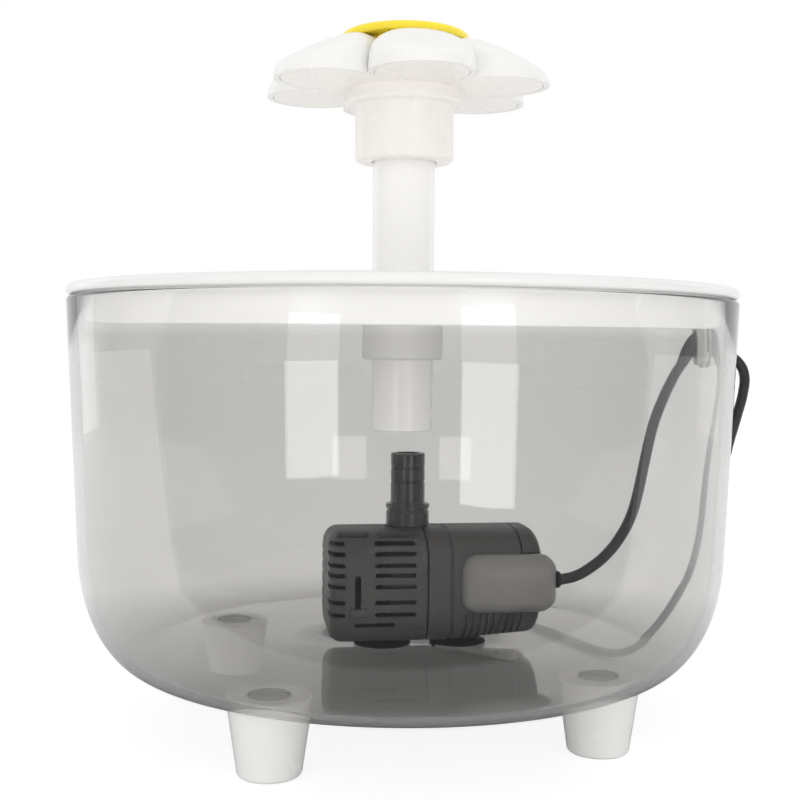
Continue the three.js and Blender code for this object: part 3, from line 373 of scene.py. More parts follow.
def moulded(name, first, second, gloss, relief, grain=0, waviness=0, soft=0.0, metal=0.0):
    """Moulded stuff: two close tones, uneven gloss, and a fine grain or slow waviness in its skin."""
    material, tree, shader = new_material(name)
    fill(tree, shader, {
        "Base Color": two_tones(tree, object_noise(tree, 60), first, second),
        "Roughness": between(tree, object_noise(tree, 140, 6), *gloss),
        "Metallic": metal,
    })
    if soft:
        fill(tree, shader, {"Subsurface Weight": soft, "Subsurface Radius": (1.0, 0.9, 0.8),
                            "Subsurface Scale": 3 * MM})
    height = object_noise(tree, waviness, 2) if waviness else object_noise(tree, grain, 3)
    bumped(tree, shader, height, relief)
    return material


SMOKE_DARK, SMOKE_LIGHT = (0.828, 0.825, 0.816), (0.845, 0.841, 0.832)
# Painted light: over this span of height near the rim the skin turns almost clear, so the tray's skirt behind
# the wall reads brighter
CLEAR_RIM_PAINTED_LIGHT_TINT, PAINTED_LIGHT_RIM_FADE = (0.99, 0.988, 0.985, 1), (110.5, 113.5)
HAZE_TINT, HAZE_DENSITY = (0.5, 0.488, 0.478, 1), 70


def smoky_clear_plastic():
    """Clear plastic with a grey skin and a haze that deepens with thickness. Near the rim the skin turns
    almost clear, as painted light that makes the tray's skirt behind it read brighter.

    Light from the lamps passes it unbent, so that it throws no dark shadow.
    """
    material, tree, shader = new_material("smoky_clear_plastic")
    smoke = two_tones(tree, object_noise(tree, 12, 2), SMOKE_DARK, SMOKE_LIGHT)
    height = new_node(tree, "SeparateXYZ", {"Vector": object_place(tree)}).outputs["Z"]
    painted_light_at_rim = ranged(tree, height, PAINTED_LIGHT_RIM_FADE[0] * MM, PAINTED_LIGHT_RIM_FADE[1] * MM)
    tint = new_node(tree, "Mix", {0: painted_light_at_rim, 6: smoke, 7: CLEAR_RIM_PAINTED_LIGHT_TINT}, data_type="RGBA")
    fill(tree, shader, {
        "Base Color": tint.outputs[2],
        "Transmission Weight": 1,
        "IOR": 1.5,
        "Roughness": between(tree, object_noise(tree, 45, 5), 0.0, 0.03),
    })
    bumped(tree, shader, object_noise(tree, 18, 2, (1, 1, 0.35)), 0.12)
    haze = new_node(tree, "VolumeAbsorption", {"Color": HAZE_TINT, "Density": HAZE_DENSITY})
    unbent = new_node(tree, "BsdfTransparent", {"Color": OPAQUE_WHITE})
    to_lamp = new_node(tree, "LightPath").outputs["Is Shadow Ray"]
    ways = {"Fac": to_lamp, 1: shader.outputs["BSDF"], 2: unbent.outputs["BSDF"]}
    surface = new_node(tree, "MixShader", ways).outputs["Shader"]
    fill(tree, tree.nodes["Material Output"], {"Surface": surface, "Volume": haze.outputs["Volume"]})
    return material


def foam_material():
    """Dark foam with open cells."""
    material, tree, shader = new_material("filter_foam")
    cells = new_node(tree, "TexVoronoi", {"Vector": object_place(tree), "Scale": 1100}).outputs["Distance"]
    # The tone follows the cells' depth and is darkest in the pits: painted shade on the foam's own dark grey
    tones = two_tones(tree, cells, (0.03, 0.03, 0.035), (0.17, 0.18, 0.19), 0.1, 0.6)
    fill(tree, shader, {"Base Color": tones, "Roughness": 0.95})
    bumped(tree, shader, cells, 0.5)
    return material


def wound_wire():
    """Lacquered copper wire, wound turn by turn up a stack."""
    material, tree, shader = new_material("wound_wire")
    inputs = {"Vector": object_place(tree), "Scale": 1500, "Distortion": 0.6}
    turns = new_node(tree, "TexWave", inputs, bands_direction="Z").outputs["Fac"]
    # The tone follows the turns' relief and is darker in the grooves between turns: painted shade on the
    # copper
    tones = two_tones(tree, turns, (0.16, 0.05, 0.02), (0.62, 0.27, 0.11))
    fill(tree, shader, {"Base Color": tones, "Metallic": 0.8, "Roughness": 0.35})
    bumped(tree, shader, turns, 0.1)
    return material


smoky = smoky_clear_plastic()
white = moulded("white_gloss_plastic", (0.918, 0.91, 0.892), (0.93, 0.923, 0.906), (0.16, 0.28),
                relief=0.004, waviness=26)
# Greyer than the other whites to take back the stronger light on the tray's rim: painted shade on the same
# white plastic
tray_painted_shade_white = moulded("tray_painted_shade_white_plastic", (0.8, 0.797, 0.786), (0.814, 0.811, 0.801), (0.16, 0.28),
                     relief=0.004, waviness=26)
petal_white = moulded("petal_white_plastic", (0.852, 0.845, 0.824), (0.866, 0.859, 0.84), (0.25, 0.28),
                      relief=0.004, waviness=40)
hub_white = moulded("hub_white_plastic", (0.905, 0.874, 0.834), (0.915, 0.884, 0.846), (0.25, 0.28),
                    relief=0.004, waviness=40)
yellow = moulded("yellow_gloss_plastic", (0.95, 0.745, 0.035), (0.975, 0.8, 0.06), (0.18, 0.3),
                 relief=0.004, waviness=40)
pump_grey = moulded("pump_grain_plastic", (0.06, 0.058, 0.058), (0.076, 0.074, 0.072), (0.38, 0.52),
                    relief=0.012, grain=2600)
# Lighter than the pump's grey to stand for the glare on the cable pocket: painted highlight on the same
# plastic
pocket_painted_glare_grey = moulded("cable_pocket_painted_glare_plastic", (0.205, 0.2, 0.195), (0.24, 0.234, 0.228), (0.3, 0.44),
                      relief=0.01, grain=2600)
spout_black = moulded("spout_black_plastic", (0.044, 0.043, 0.043), (0.054, 0.053, 0.052), (0.14, 0.22),
                      relief=0.006, waviness=120)
black_rubber = moulded("black_rubber", (0.014, 0.014, 0.014), (0.024, 0.024, 0.024), (0.45, 0.65),
                       relief=0.05, grain=1800)
milky = moulded("milky_silicone", (0.6, 0.6, 0.58), (0.68, 0.68, 0.66), (0.35, 0.5),
                relief=0.03, grain=1500, soft=0.3)
sheath = moulded("cord_sheath", (0.03, 0.03, 0.031), (0.04, 0.04, 0.041), (0.26, 0.4),
                 relief=0.03, grain=1500)
nickel = moulded("nickel_plate", (0.6, 0.6, 0.6), (0.7, 0.7, 0.7), (0.15, 0.3),
                 relief=0.01, grain=2500, metal=1.0)
ferrite = moulded("sintered_ferrite", (0.03, 0.03, 0.033), (0.06, 0.06, 0.062), (0.5, 0.7),
                  relief=0.06, grain=2500)
ceramic = moulded("ground_ceramic", (0.72, 0.71, 0.68), (0.8, 0.79, 0.76), (0.2, 0.35),
                  relief=0.01, grain=3000)
laminate = moulded("stator_laminate", (0.2, 0.2, 0.21), (0.32, 0.32, 0.33), (0.35, 0.55),
                   relief=0.04, grain=1800, metal=0.9)
board = moulded("board_green", (0.01, 0.09, 0.04), (0.02, 0.13, 0.06), (0.3, 0.45),
                relief=0.02, grain=1200)
foam = foam_material()
wire = wound_wire()


def finished(piece, material, body, slot, *nodes):
    """Gives a piece its material, its body and the solids that it stands for. The slot is not used."""
    piece.data.materials.clear()
    piece.data.materials.append(material)
    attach(piece, body)
    if nodes:
        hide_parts(*nodes)


# Camera

def set_camera():
    bpy.ops.object.camera_add()
    camera = bpy.context.object
    turn = Matrix.Rotation(pi / 2 - EYE_PITCH, 4, "X") @ Matrix.Rotation(EYE_ROLL, 4, "Z")
    camera.matrix_world = Matrix.Translation((0, -EYE_DISTANCE * MM, EYE_HEIGHT * MM)) @ turn
    camera.data.lens = LENS
    camera.data.shift_x = SHIFT_X
    camera.data.clip_start = NEAREST_SEEN * MM
    bpy.context.scene.camera = camera


set_camera()


# Cord, laid from the pump to the plug, with its stored length in a coil

COIL_R_OUT, COIL_PITCH, COIL_LOW = 20.8, 3.2, 2.5
ENTRY_WIDE, ENTRY_DROP = 3.7, 0.85
EXIT_WIDE, EXIT_Z = 3.5, 1.8

# Degrees travelled round the coil: its start and end, and where it steps in, out and up
COIL_ENTRY, COIL_EXIT = 31.4, 3675
KNOT_STEP, KNOTS = 20, 183
INWARD = [(300, 350), (660, 710), (2100, 2150), (2460, 2510)]
OUTWARD = [(1190, 1240), (1550, 1600), (2990, 3040), (3350, 3400)]
UPWARD = [(890, 935), (1795, 1835), (2690, 2735)]


def eased_step(angle, start, end):
    """0 up to the start, 1 from the end, and a soft step between."""
    share = min(max((angle - start) / (end - start), 0), 1)
    return share * share * (3 - 2 * share)


def coil_point(angle):
    """A point of the coil by the angle travelled: in, up, out and up again, layer on layer."""
    radius = COIL_R_OUT - COIL_PITCH * sum(eased_step(angle, *zone) for zone in INWARD)
    radius += COIL_PITCH * sum(eased_step(angle, *zone) for zone in OUTWARD)
    height = COIL_LOW + COIL_PITCH * sum(eased_step(angle, *zone) for zone in UPWARD)
    coming = 1 - eased_step(angle, COIL_ENTRY - 20, COIL_ENTRY + 34)
    leaving = eased_step(angle, COIL_EXIT - 66, COIL_EXIT - 2)
    radius += ENTRY_WIDE * coming + EXIT_WIDE * leaving
    height += -ENTRY_DROP * coming - (height - EXIT_Z) * leaving
    turn = radians(angle)
    return (COIL_X + radius * cos(turn), COIL_Y + radius * sin(turn), height)


def make_cord():
    coil = [coil_point(COIL_ENTRY + KNOT_STEP * k) for k in range(KNOTS)]
    points = CORD_ROUTE + coil + TAIL_ROUTE
    deselect()
    bpy.ops.curve.primitive_bezier_curve_add()
    piece = named("cord")
    spline = piece.data.splines[0]
    spline.bezier_points.add(len(points) - 2)
    for knot, point in zip(spline.bezier_points, points):
        knot.co = Vector(point) * MM
        knot.handle_left_type = knot.handle_right_type = "AUTO"
    piece.data.dimensions = "3D"
    piece.data.resolution_u = 5
    piece.data.bevel_depth = CORD_R * MM
    piece.data.bevel_resolution = 3
    piece.data.use_fill_caps = True
    piece.data.materials.append(sheath)
    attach(piece, "bowl_unit")
    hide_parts("supply_cord", "cord_coil", "cord_tail")
    return piece


def section(x, half, low, high, upper, lower, steps=10, rise=None):
    """A rounded outline across X, with its own radii above and below."""
    tall = rise or upper
    corners = [(half - upper, high - tall, upper, tall, 0), (upper - half, high - tall, upper, tall, 90),
               (lower - half, low + lower, lower, lower, 180), (half - lower, low + lower, lower, lower, 270)]
    return [(x, y, z) for cy, cz, r, h, a in corners for y, z in arc(cy, cz, r, a, a + 90, steps, h)]


# The plug: where its strain relief begins, and how far along its grip and its metal shell begin
PLUG_X, PLUG_Y, PLUG_Z = 16.7, 171.4, 3.8
GRIP_ALONG, METAL_ALONG = 11.3, 33.6


def make_plug():
    ribs = []
    for k in range(4):
        wide, along = 0.16 * k, 2.5 * k
        ribs += [(2.0 + wide, 1.2 + along), (1.8 + wide, 1.7 + along),
                 (1.8 + wide, 2.3 + along), (2.08 + wide, 2.8 + along)]
    profile = [(0, 0), (1.7, 0), (1.95, 0.3)] + ribs + [(2.6, 11), (0, 11)]
    relief = laid(turned("plug_relief_sleeve", profile, 32), PLUG_X, PLUG_Y, PLUG_Z)
    finished(relief, sheath, "bowl_unit", "cord_sheath", "plug_relief")
    stations = [(0, 6.2, 3.0, 1.8), (0.7, 7.0, 3.5, 2.1), (2.2, 7.6, 3.75, 2.3), (5, 7.8, 3.8, 2.4),
                (5.6, 7.45, 3.8, 2.4), (6.4, 7.45, 3.8, 2.4), (7.0, 7.8, 3.8, 2.4),
                (8.0, 7.8, 3.8, 2.4), (8.6, 7.45, 3.8, 2.4), (9.4, 7.45, 3.8, 2.4), (10, 7.8, 3.8, 2.4),
                (20.6, 7.8, 3.8, 2.4), (21.6, 7.5, 3.6, 2.2), (22, 6.9, 3.1, 1.8)]
    grip = skinned("plug_grip", [section(x, w, -h, h, r, r, 6) for x, w, h, r in stations])
    moved(grip, PLUG_X + GRIP_ALONG, PLUG_Y, PLUG_Z)
    finished(grip, sheath, "bowl_unit", "cord_sheath", "plug_body")
    metal = bar("plug_metal_shell", (0, -6, -2.25), (12, 6, 2.25), "x", 0.5, 3)
    hollow = bar("hollow", (1.2, -5.6, -1.85), (13, 5.6, 1.85), "x", 0.3, 2)
    windows = [bar("window", (5.2, y - 1.1, 1), (7.6, y + 1.1, 3)) for y in (-2.9, 2.9)]
    smooth(carve(metal, hollow, *windows))
    moved(metal, PLUG_X + METAL_ALONG, PLUG_Y, PLUG_Z)
    finished(metal, nickel, "bowl_unit", "plug_metal", "plug_shell")


cord = make_cord()
make_plug()


# Bowl and feet

FEET = [(FOOT_CIRCLE * cos(turn), FOOT_CIRCLE * sin(turn))
        for turn in (FOOT_TURN + k * pi / 2 for k in range(4))]


def wall_radius(z):
    return SHOULDER_R + (z - SHOULDER_Z) / (RIM_Z - SHOULDER_Z) * (RIM_R - SHOULDER_R)


def at_cord_hole(piece):
    """Lays a piece that was made about Z through the cord's hole in the wall."""
    return swung(laid(piece, z=HOLE_Z), HOLE_TURN)


def make_bowl():
    corner_r, corner_z = SHOULDER_R - FLAT_R, SHOULDER_Z - FLOOR_Z
    inner_z = FLOOR_Z + FLOOR_THICK
    lip = 0.9
    gate_ring = [(0, FLOOR_Z + 0.6), (9.2, FLOOR_Z + 0.6), (9.8, FLOOR_Z + 0.45), (10.2, FLOOR_Z + 0.12),
                 (10.8, FLOOR_Z)]
    profile = (
        gate_ring + [(40, FLOOR_Z)]
        + arc(FLAT_R, SHOULDER_Z, corner_r, -90, 0, 26, corner_z)
        + [(wall_radius(80), 80), (wall_radius(105), 105)]
        + arc(RIM_R - lip, RIM_Z - lip, lip, 0, 90, 4)
        + arc(RIM_R - WALL + lip, RIM_Z - lip, lip, 90, 180, 4)
        + [(wall_radius(105) - WALL, 105), (wall_radius(80) - WALL, 80)]
        + arc(FLAT_R, SHOULDER_Z, corner_r - WALL, 0, -90, 26, corner_z - FLOOR_THICK)
        + [(40, inner_z), (0, inner_z)]
    )
    bowl = turned("bowl_shell", profile, 144, 40)
    stud = [(0, FLOOR_Z - STUD_LENGTH), (STUD_R - 0.5, FLOOR_Z - STUD_LENGTH),
            (STUD_R, FLOOR_Z - STUD_LENGTH + 0.5), (STUD_R, inner_z - 1), (0, inner_z - 1)]
    studs = [moved(turned("stud", stud, 32), x, y) for x, y in FEET]
    drill = at_cord_hole(disc("drill", HOLE_R, 85, 100, 40))
    carve(unite(bowl, *studs), drill)
    finished(smooth(bowl, 40), smoky, "bowl_unit", "smoky_clear", "bowl")


def make_feet():
    top = FLOOR_Z - GAP
    socket_r, socket_z = STUD_R + GAP, FLOOR_Z - STUD_LENGTH - GAP
    profile = (
        [(0, 0), (5, 0)] + arc(7.1, 1.3, 1.3, -90, -10, 6)
        + [(10.72, top - 0.9)] + arc(10.3, top - 0.6, 0.6, 0, 90, 4)
        + [(socket_r + 0.3, top), (socket_r, top - 0.3), (socket_r, socket_z), (0, socket_z)]
    )
    for k, (x, y) in enumerate(FEET):
        foot = moved(turned(f"foot_cup_{k + 1}", profile, 64), x, y)
        finished(foot, white, "bowl_unit", "white_plastic", f"foot_{k + 1}")


def make_grommet():
    outside = wall_radius(HOLE_Z) + GAP
    inside = outside - WALL - 3 * GAP
    bore, waist, flange = 2.0, 3.1, 4.0
    profile = [(bore, inside - 2.6), (waist - 0.3, inside - 2.6), (waist, inside - 2.3),
               (waist, inside - 0.8), (flange - 0.3, inside - 0.8), (flange, inside - 0.5),
               (flange, inside), (waist, inside),
               (waist, outside), (flange, outside), (flange, outside + 0.5), (flange - 0.3, outside + 0.8),
               (bore, outside + 0.8)]
    sleeve = at_cord_hole(ring("cord_sleeve", profile, 48))
    finished(sleeve, milky, "bowl_unit", "grommet_rubber", "cord_grommet")


make_bowl()
make_feet()
make_grommet()


# Tray, strainer and stem

RIM_BOTTOM = RIM_Z + GAP
RIM_TOP = RIM_BOTTOM + 3.4
WELL_R, WELL_FLOOR = 28.7, 113.7
COLLAR_R, COLLAR_LOW, COLLAR_TOP = 11.7, 104.3, 119
STEM_R = 9
STEM_BORE = STEM_R + 0.35
PLATE_Z = COLLAR_TOP + GAP
LIP_X, LIP_APART = 67.6, 3.45
DRAINS, DRAIN_R, DRAIN_CIRCLE = 8, 1.7, 23.75
STRAINER_SLOTS = 18


def make_tray():
    skirt_low = RIM_BOTTOM - 8.7
    under = [(STEM_BORE + 0.3, COLLAR_LOW), (COLLAR_R - 0.4, COLLAR_LOW), (COLLAR_R, COLLAR_LOW + 0.4),
             (COLLAR_R, 110.5), (20.1, 110.5), (20.5, 110.8), (20.5, 111.7), (WELL_R - 0.4, 111.7),
             (WELL_R, 112.1), (WELL_R, 113.6), (WELL_R + 0.5, 114), (60, 114.9), (84.5, 115.6), (88.0, 116.1)]
    skirt = [(88.4, 115.6), (88.4, skirt_low + 0.3), (88.7, skirt_low), (90.1, skirt_low),
             (90.4, skirt_low + 0.3), (91, RIM_BOTTOM - 0.3), (91.3, RIM_BOTTOM), (93.2, RIM_BOTTOM)]
    rim = arc(93.4, RIM_BOTTOM + 1.6, 1.6, -84, 60, 10) + arc(91.6, RIM_TOP - 3.2, 3.2, 70, 100, 4)
    basin = [(90.2, RIM_TOP - 0.25), (89.4, RIM_TOP - 1.0), (88.6, RIM_TOP - 3.0), (87.8, RIM_TOP - 5.2),
             (86.6, 118.6), (84.5, 117.9), (81, 117.65), (60, 116.9), (WELL_R + 0.6, 116.05), (27.4, 115.9)]
    well = [(27, 115.5), (27, WELL_FLOOR + 0.4), (26.6, WELL_FLOOR), (COLLAR_R + 0.4, WELL_FLOOR),
            (COLLAR_R, WELL_FLOOR + 0.4)]
    collar = [(COLLAR_R, COLLAR_TOP - 0.4), (COLLAR_R - 0.4, COLLAR_TOP), (STEM_BORE + 0.4, COLLAR_TOP),
              (STEM_BORE, COLLAR_TOP - 0.4), (STEM_BORE, COLLAR_LOW + 0.3)]
    tray = ring("drinking_tray", under + skirt + rim + basin + well + collar, 144, 40)
    lips, slots = [], []
    for side in (-1, 1):
        for half in (-1, 1):
            x = side * LIP_X + half * LIP_APART
            lips.append(bar("lip", (x - 3.1, -4.5, 110.5), (x + 3.1, 4.5, 116.2), "z", 1.2))
            slots.append(bar("slot", (x - 1.7, -3, 109), (x + 1.7, 3, 121), "z", 1.6))
    unite(tray, joined("lips", lips))
    drains = []
    for k in range(DRAINS):
        turn = k * pi / 4
        drain = disc("drain", DRAIN_R, 109, 115, 20)
        drains.append(moved(drain, DRAIN_CIRCLE * cos(turn), DRAIN_CIRCLE * sin(turn)))
    carve(tray, joined("slots", slots), joined("drains", drains))
    finished(smooth(tray, 40), tray_painted_shade_white, "tray_unit", "white_plastic", "tray")


def make_strainer():
    top = PLATE_Z + 1.6
    profile = [(25.2, 114), (26.7, 114), (26.7, top - 0.8)] + arc(25.9, top - 0.8, 0.8, 15, 90, 5) + [
        (22, top + 0.02), (11.6, top), (11.2, top - 0.4), (11.2, PLATE_Z), (25.2, PLATE_Z)]
    strainer = ring("well_strainer", profile, 96, 40)
    slots = []
    for k in range(STRAINER_SLOTS):
        slot = bar("slot", (13.1, -0.8, PLATE_Z - 1), (23.8, 0.8, top + 1), "z", 0.75, 4)
        slots.append(swung(slot, k * pi / 9))
    carve(strainer, joined("slots", slots))
    finished(smooth(strainer, 40), white, "strainer_unit", "white_plastic", "strainer")


def make_stem():
    low, high, joint = 84, 176.7, COLLAR_TOP
    profile = [(7.6, low), (8.45, low), (8.75, low + 0.35), (STEM_R, joint), (STEM_R, high - 0.3),
               (STEM_R - 0.3, high), (7.8, high), (7.5, high - 0.3), (7.5, joint), (7.25, low + 0.35)]
    finished(ring("water_stem", profile, 80), white, "stem_unit", "white_plastic", "stem")


make_tray()
make_strainer()
make_stem()


# Flower

PETALS = 6
PETAL_TURN = radians(-80.5)
PETAL_CENTRE, PETAL_R = 28, 14.5
PETAL_LOW, EDGE_TALL, EDGE_DEEP = 181.7, 2.6, 2.2
RIDGE_Z, RIDGE_FLAT, RIDGE_FALL, LOAF = 195.3, 20, 1.4, 2.7
CEILING_THICK, CEILING_LOW = 2.0, 1.6
CROWN_R = 13.9
HALF_PETAL = pi / PETALS
CUSP = HALF_PETAL + asin(PETAL_CENTRE * sin(HALF_PETAL) / PETAL_R)
STEPS = 18


def lobe_radius(angle):
    across = PETAL_CENTRE * sin(angle)
    return PETAL_CENTRE * cos(angle) + sqrt(max(PETAL_R ** 2 - across ** 2, 0))


def petal_height(angle, radius):
    """A loaf with a flat ridge that falls to the tip, and steep sides down to a narrow groove."""
    along, across = radius * cos(angle), abs(radius * sin(angle))
    tip, cusp = PETAL_CENTRE + PETAL_R, lobe_radius(HALF_PETAL) * cos(HALF_PETAL)
    edge = PETAL_LOW + EDGE_TALL
    fall = min(max((along - RIDGE_FLAT) / (tip - RIDGE_FLAT), 0), 1) ** RIDGE_FALL
    ridge = RIDGE_Z - (RIDGE_Z - edge) * fall
    if along > cusp:
        half = sqrt(max(PETAL_R ** 2 - (along - PETAL_CENTRE) ** 2, 0.01))
    else:
        half = along * tan(HALF_PETAL)
    return edge + (ridge - edge) * (1 - min(across / half, 1) ** LOAF) ** (1 / LOAF)


def petal_rim():
    """The outer rim of one petal, from cusp to cusp, as angles and radii about the flower's axis."""
    rim = []
    for i in range(2 * STEPS):
        turn = CUSP * (i - STEPS) / STEPS
        x, y = PETAL_CENTRE + PETAL_R * cos(turn), PETAL_R * sin(turn)
        rim.append((atan2(y, x), hypot(x, y)))
    return rim


def hollow_rim(margin):
    """The rim of the hollow under one petal, inside the wall and the web to the next petal."""
    radius, web = PETAL_R - 1.6 - margin, 0.8 + margin
    rim = [(-HALF_PETAL, (radius - web) / sin(HALF_PETAL))]
    for i in range(1, 2 * STEPS):
        turn = pi / 2 * (i - STEPS) / (STEPS - 1)
        x, y = PETAL_CENTRE + radius * cos(turn), radius * sin(turn)
        rim.append((atan2(y, x), hypot(x, y)))
    return rim


def flower_ring(rim, place):
    """Six copies of a petal's rim, each point put at the radius and height that place gives."""
    points = []
    for petal in range(PETALS):
        for angle, radius in rim:
            r, z = place(angle, radius)
            turn = PETAL_TURN + angle + petal * 2 * HALF_PETAL
            points.append((r * cos(turn), r * sin(turn), z))
    return points


def make_petals():
    rim, hollow = petal_rim(), hollow_rim(0)

    def on_skin(share):
        def place(angle, radius):
            r = CROWN_R + (radius - EDGE_DEEP - CROWN_R) * share
            return r, petal_height(angle, r)
        return place

    def on_edge(turn):
        def place(angle, radius):
            r = radius - EDGE_DEEP * (1 - sin(turn))
            return r, petal_height(angle, r) - EDGE_TALL * (1 - cos(turn))
        return place

    def on_ceiling(share):
        def place(angle, radius):
            r = CROWN_R + (radius - CROWN_R) * share
            return r, max(petal_height(angle, r) - CEILING_THICK, PETAL_LOW + CEILING_LOW)
        return place

    outer = [flower_ring(rim, on_skin(k / 10)) for k in range(10)]
    edge = [flower_ring(rim, on_edge(radians(degree))) for degree in range(0, 91, 10)]
    inner = [flower_ring(hollow, on_ceiling(share)) for share in (0, 0.2, 0.4, 0.6, 0.8, 0.93, 1)]
    inner.append(flower_ring(hollow, lambda angle, radius: (radius, PETAL_LOW)))
    petals = skinned("petal_dome", (outer + edge)[::-1] + inner, closed=True, sharp=42)
    finished(petals, petal_white, "flower_unit", "white_plastic", "petal_shell")


def make_flower_base():
    outline = hollow_rim(0.06)
    stations = [(0.25, PETAL_LOW), (0, PETAL_LOW + 0.25), (0, PETAL_LOW + 1.5)]
    plate = skinned("plate", [flower_ring(outline, lambda a, r, s=s, z=z: (r - s, z)) for s, z in stations])
    carve(plate, disc("opening", STEM_BORE, PETAL_LOW - 1, PETAL_LOW + 3, 64))
    profile = (
        [(STEM_BORE, 161.9), (STEM_BORE + 0.4, 161.5)] + arc(12.7, 163.1, 1.6, -90, 0, 8)
        + [(14.3, 176.6), (14.6, 177.1), (15.2, 177.5), (16.0, 177.5)] + arc(16.2, 178.7, 1.2, -80, 0, 6)
        + [(17.4, 182.4), (10.2, 182.4), (10.2, 187.2), (9.9, 187.5), (7.9, 187.5), (7.5, 187.1), (7.5, 177),
           (STEM_BORE, 177)]
    )
    hub = unite(ring("flower_collar", profile, 96, 40), plate)
    finished(smooth(hub, 40), hub_white, "flower_unit", "white_plastic", "flower_base")


def make_cap():
    low = RIDGE_Z + 0.4
    top = low + 2.5
    profile = (
        [(0, low + 1.1), (11.8, low + 1.1), (11.8, 186.3), (13.1, 186.3), (13.38, 186.6), (13.38, low)]
        + [(17.2, low)] + arc(17.4, low + 1.1, 1.1, -84, 0, 7) + arc(17.1, top - 1.4, 1.4, 0, 84, 8)
        + [(15.6, top), (12.6, top - 0.35), (6, top - 0.6), (0, top - 0.65)]
    )
    cap = turned("flower_button", profile, 96, 40)
    windows = []
    for k in range(PETALS):
        window = bar("window", (10.8, -0.8, low - 1.6), (14.4, 0.8, low - 0.4), "x", 0.4, 3)
        windows.append(swung(window, PETAL_TURN + HALF_PETAL + k * 2 * HALF_PETAL))
    carve(cap, joined("windows", windows))
    finished(smooth(cap, 40), yellow, "cap_unit", "yellow_plastic", "flower_cap")


make_petals()
make_flower_base()
make_cap()


# Pump

COVER_WALL = 1.5
SLOT_TALL = 1.25
TOP_SPANS = [(-21.6, -12.4), (-10.1, -1.0)]
SIDE_SPANS, LOWEST_SPAN = [(-26, -19.6), (-11.4, 0.3)], [(-17.0, -5.7)]
SLOT_ROWS = [(z, SIDE_SPANS) for z in (52.9, 50.3, 47.2, 44.4, 41.2, 36.8, 33.1)] + [(30.2, LOWEST_SPAN)]
NOTCH_R = 6.65
POCKET_NEAR, POCKET_FAR = -21.5, -12
POCKET_LOW, POCKET_HIGH = 33.2, 50
POCKET_START, POCKET_END, POCKET_ROUND = 13.3, 35.8, 4.6


def on_pump(piece):
    """Turns and moves a piece made about the pump's own axis to its place in the bowl."""
    piece.rotation_euler = (0, 0, PUMP_TURN)
    return moved(piece, PUMP_OFFSET)


def barrel(x, inset=0.0):
    """The motor barrel's outline across X; its underside rises and grows rounder to the rear."""
    rear = min(max((x - RING_SEAM) / (REAR_X - RING_SEAM), 0), 1)
    upper = max(UPPER_ROUND - inset, LEAST_ROUND)
    lower = max(LOWER_ROUND + REAR_ROUND * rear - inset, LEAST_ROUND)
    low, high = BARREL_BOTTOM + REAR_LIFT * rear + inset, BARREL_TOP - inset
    return section(x, BARREL_HALF - inset, low, high, upper, lower, rise=max(UPPER_RISE - inset, LEAST_ROUND))


def rounded_end(tip, size, direction, inset=0.0):
    """The barrel's outlines over a rounded end, from its tip to the full size."""
    rings = []
    for degree in range(90, -1, -10):
        turn = radians(degree)
        rings.append(barrel(tip + direction * size * (1 - sin(turn)), inset + size * (1 - cos(turn))))
    return rings


def cover_slots():
    """The cutters for the intake slots: short ones over both shoulders, and rows down both sides."""
    slots = []
    for left, right in TOP_SPANS:
        for near in (-11.6, 8.2):
            slots.append(bar("slot", (left, near, 53.8), (right, near + 3.4, 57), "z", 0.9, 3))
    for middle, spans in SLOT_ROWS:
        high = middle + SLOT_TALL / 2
        for left, right in spans:
            for near, far in ((-18.5, -9), (9, 18.5)):
                slots.append(bar("slot", (left, near, high - SLOT_TALL), (right, far, high), "y", 0.55, 3))
    return joined("slots", slots)


def make_cover():
    seam = COVER_SEAM - GAP / 2
    cover = skinned("intake_barrel", rounded_end(NOSE_X, 4, 1) + [barrel(seam - 0.3), barrel(seam, 0.25)])
    nose = rounded_end(NOSE_X + COVER_WALL, 2.5, 1, COVER_WALL)
    carve(cover, skinned("hollow", nose + [barrel(seam + 1, COVER_WALL)]))
    carve(cover, cover_slots())
    # A sheet across the inside of the cover that stops light passing from slot to slot, so the slots read
    # dark: a sheet put for shade
    unite(cover, bar("slot_shade_sheet", (-23, 2, 25), (-7.4, 3.2, 54.9)))
    mouth = bar("mouth", (0, -NOTCH_R, ROTOR_Z), (5, NOTCH_R, 57))
    notch = unite(disc("notch", NOTCH_R, ROTOR_Z, 57, 48), mouth)
    track = bar("track", (-17.0, -18.5, 32.4), (-15.2, -14.5, 44.4), "y", 0.85, 4)
    seat = moved(disc("seat", CUP_SEAT_R, 22, 27, 24), FRONT_CUP_X)
    carve(cover, notch, track, seat)
    finished(on_pump(smooth(cover)), pump_grey, "cover_unit", "pump_plastic", "intake_cover")


def pocket(x, inset):
    """The cable pocket's outline across X."""
    near, far = POCKET_NEAR + inset, POCKET_FAR - inset
    middle, half = (near + far) / 2, (far - near) / 2
    radius = min(max(POCKET_ROUND - inset, LEAST_ROUND), half)
    outline = section(x, half, POCKET_LOW + inset, POCKET_HIGH - inset, radius, radius, 8)
    return [(px, py + middle, pz) for px, py, pz in outline]


def pocket_skin(name, margin=0.0):
    """The cable pocket: rounded at the front, and drawn in to the rear where the cord leaves."""
    rings = []
    for degree in range(90, -1, -15):
        turn = radians(degree)
        x = POCKET_START + POCKET_ROUND * (1 - sin(turn)) - margin
        rings.append(pocket(x, POCKET_ROUND * (1 - cos(turn)) - margin))
    for share, inward in ((0, 0), (0.35, 0.08), (0.6, 0.25), (0.8, 0.45), (0.92, 0.66), (1, 0.85)):
        rings.append(pocket(POCKET_END + POCKET_ROUND * share + margin, POCKET_ROUND * inward - margin))
    return skinned(name, rings)


